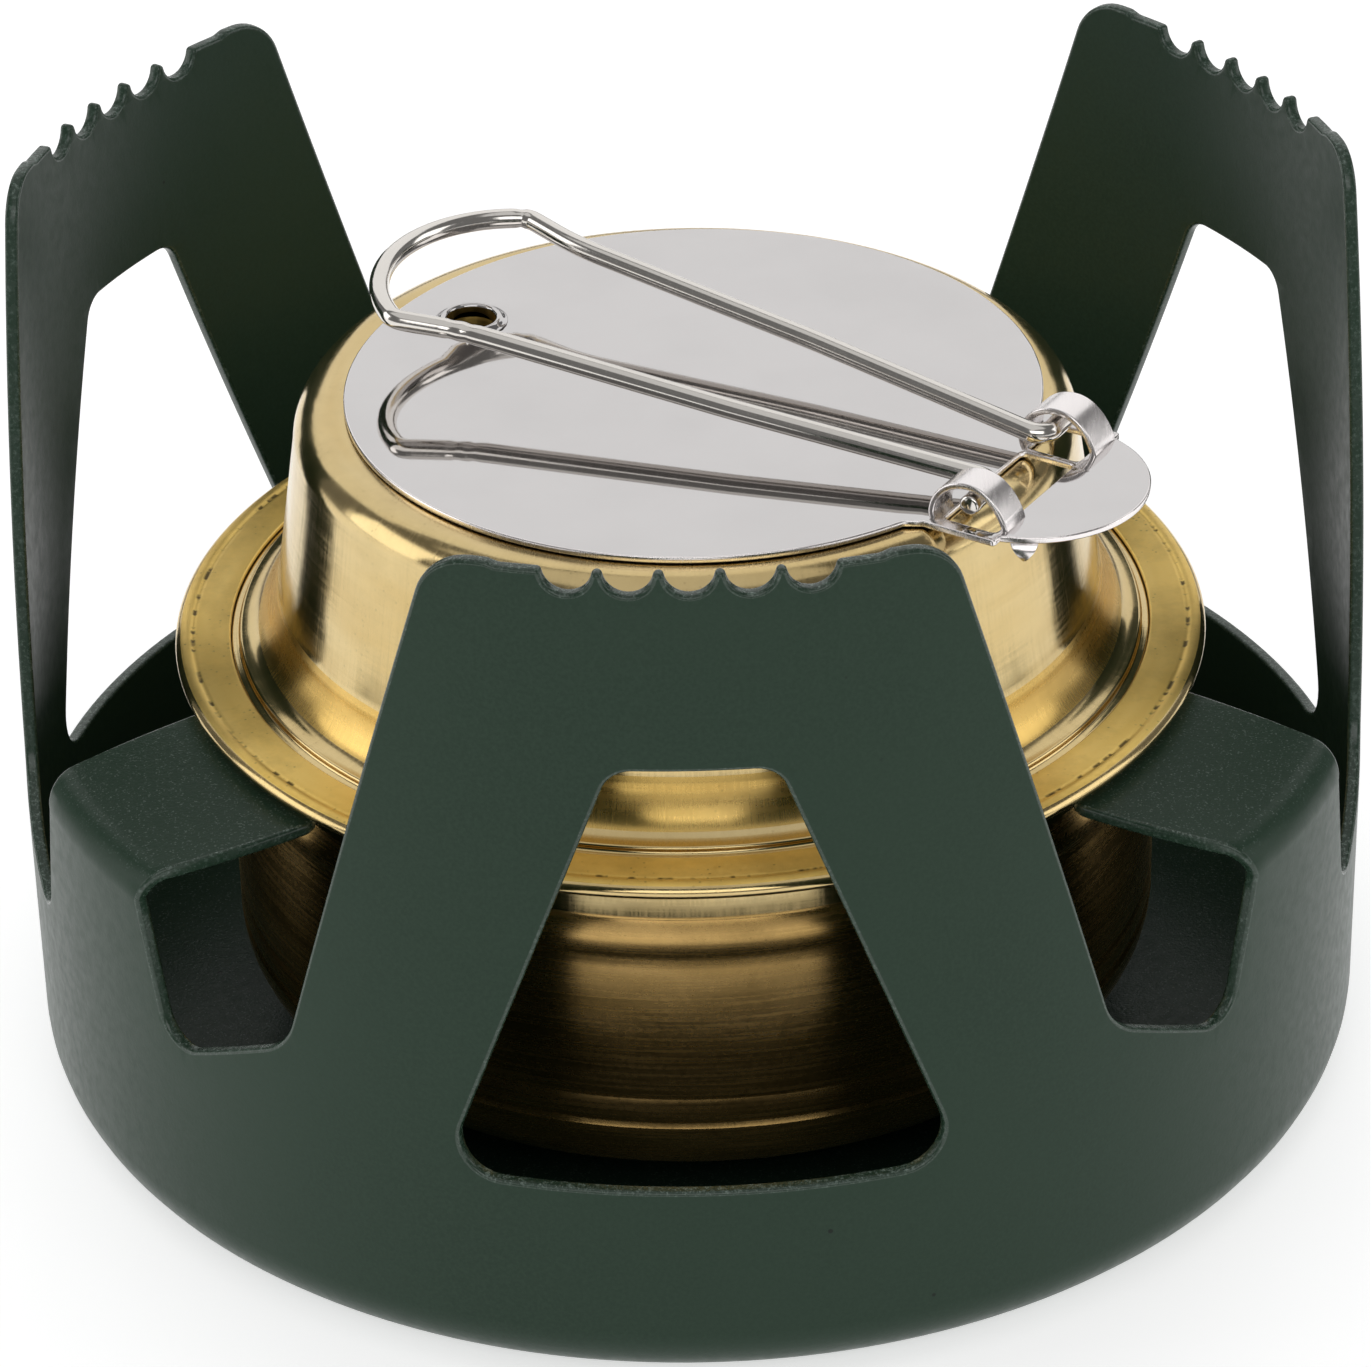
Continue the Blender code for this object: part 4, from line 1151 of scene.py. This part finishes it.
CAMERA_ELEVATION = 31.008           # degrees
CAMERA_ROLL = -1.315                # degrees
CAMERA_DISTANCE = 0.41554
CAMERA_TARGET_HEIGHT = 0.02764
CAMERA_LENS = 145.53                # millimetres on a 36 mm sensor
CAMERA_SHIFT = -0.0045


def make_camera():
    """Camera in front of the stove, at the photo's viewing angle."""
    elevation, roll = radians(CAMERA_ELEVATION), radians(CAMERA_ROLL)
    back = Vector((0, -cos(elevation), sin(elevation)))
    level = Vector((1, 0, 0))
    upward = back.cross(level)
    right = level * cos(roll) + upward * sin(roll)
    up = upward * cos(roll) - level * sin(roll)
    lens = bpy.data.cameras.new("camera")
    lens.sensor_width = 36.0
    lens.lens = CAMERA_LENS
    lens.shift_x = CAMERA_SHIFT
    lens.clip_start = 0.01
    camera = bpy.data.objects.new("camera", lens)
    place = Matrix((right, up, back)).transposed().to_4x4()
    place.translation = back * CAMERA_DISTANCE + Vector((0, 0, CAMERA_TARGET_HEIGHT))
    camera.matrix_world = place
    bpy.context.scene.collection.objects.link(camera)
    bpy.context.scene.camera = camera


def main():
    polished = brass("brass_polished", (0.68, 0.53, 0.265), (0.62, 0.46, 0.205), (0.09, 0.18),
                     0.0012 * MM, 0.22 * MM, 0.25, brush=0.10)
    # Rougher brass for the ring's hollow curve; its orange tint is a painted reflection of the flange.
    soft = brass("brass_cove_painted_reflection", (0.78, 0.53, 0.17), (0.68, 0.45, 0.125), (0.22, 0.32),
                 0.0012 * MM, 0.10 * MM, 0.3, brush=0.06)
    satin = brass("brass_satin", (1.0, 0.715, 0.225), (0.88, 0.60, 0.155), (0.34, 0.48),
                  0.004 * MM, 0.05 * MM, 0.6, grain=0.85, seam=SEAM_RADIUS)
    worn = brass("brass_worn", (0.60, 0.39, 0.145), (0.48, 0.305, 0.10), (0.20, 0.34),
                 0.0016 * MM, 0.10 * MM, 0.6, grain=0.30)
    sheet = steel("steel_bright", (0.63, 0.61, 0.605), (0.02, 0.055), 0.0001 * MM)
    wire = steel("steel_drawn", (0.76, 0.725, 0.68), (0.10, 0.20), 0.0008 * MM)
    formed = steel("steel_formed", (0.92, 0.875, 0.865), (0.20, 0.32), 0.001 * MM)
    make_stand(green_coat("green_coat", (0.29, 0.38), 0.0),
               green_coat("green_edge", (0.20, 0.32), 0.45))
    make_cup(worn, satin, polished)
    make_collar(polished)
    make_sleeve(worn)
    make_wick(fibre())
    make_ring(polished, soft)
    make_plate(sheet, formed)
    make_eyelet(sheet, satin)
    make_handle(wire)
    make_floor(pale_floor())
    make_studio()
    make_camera()


main()
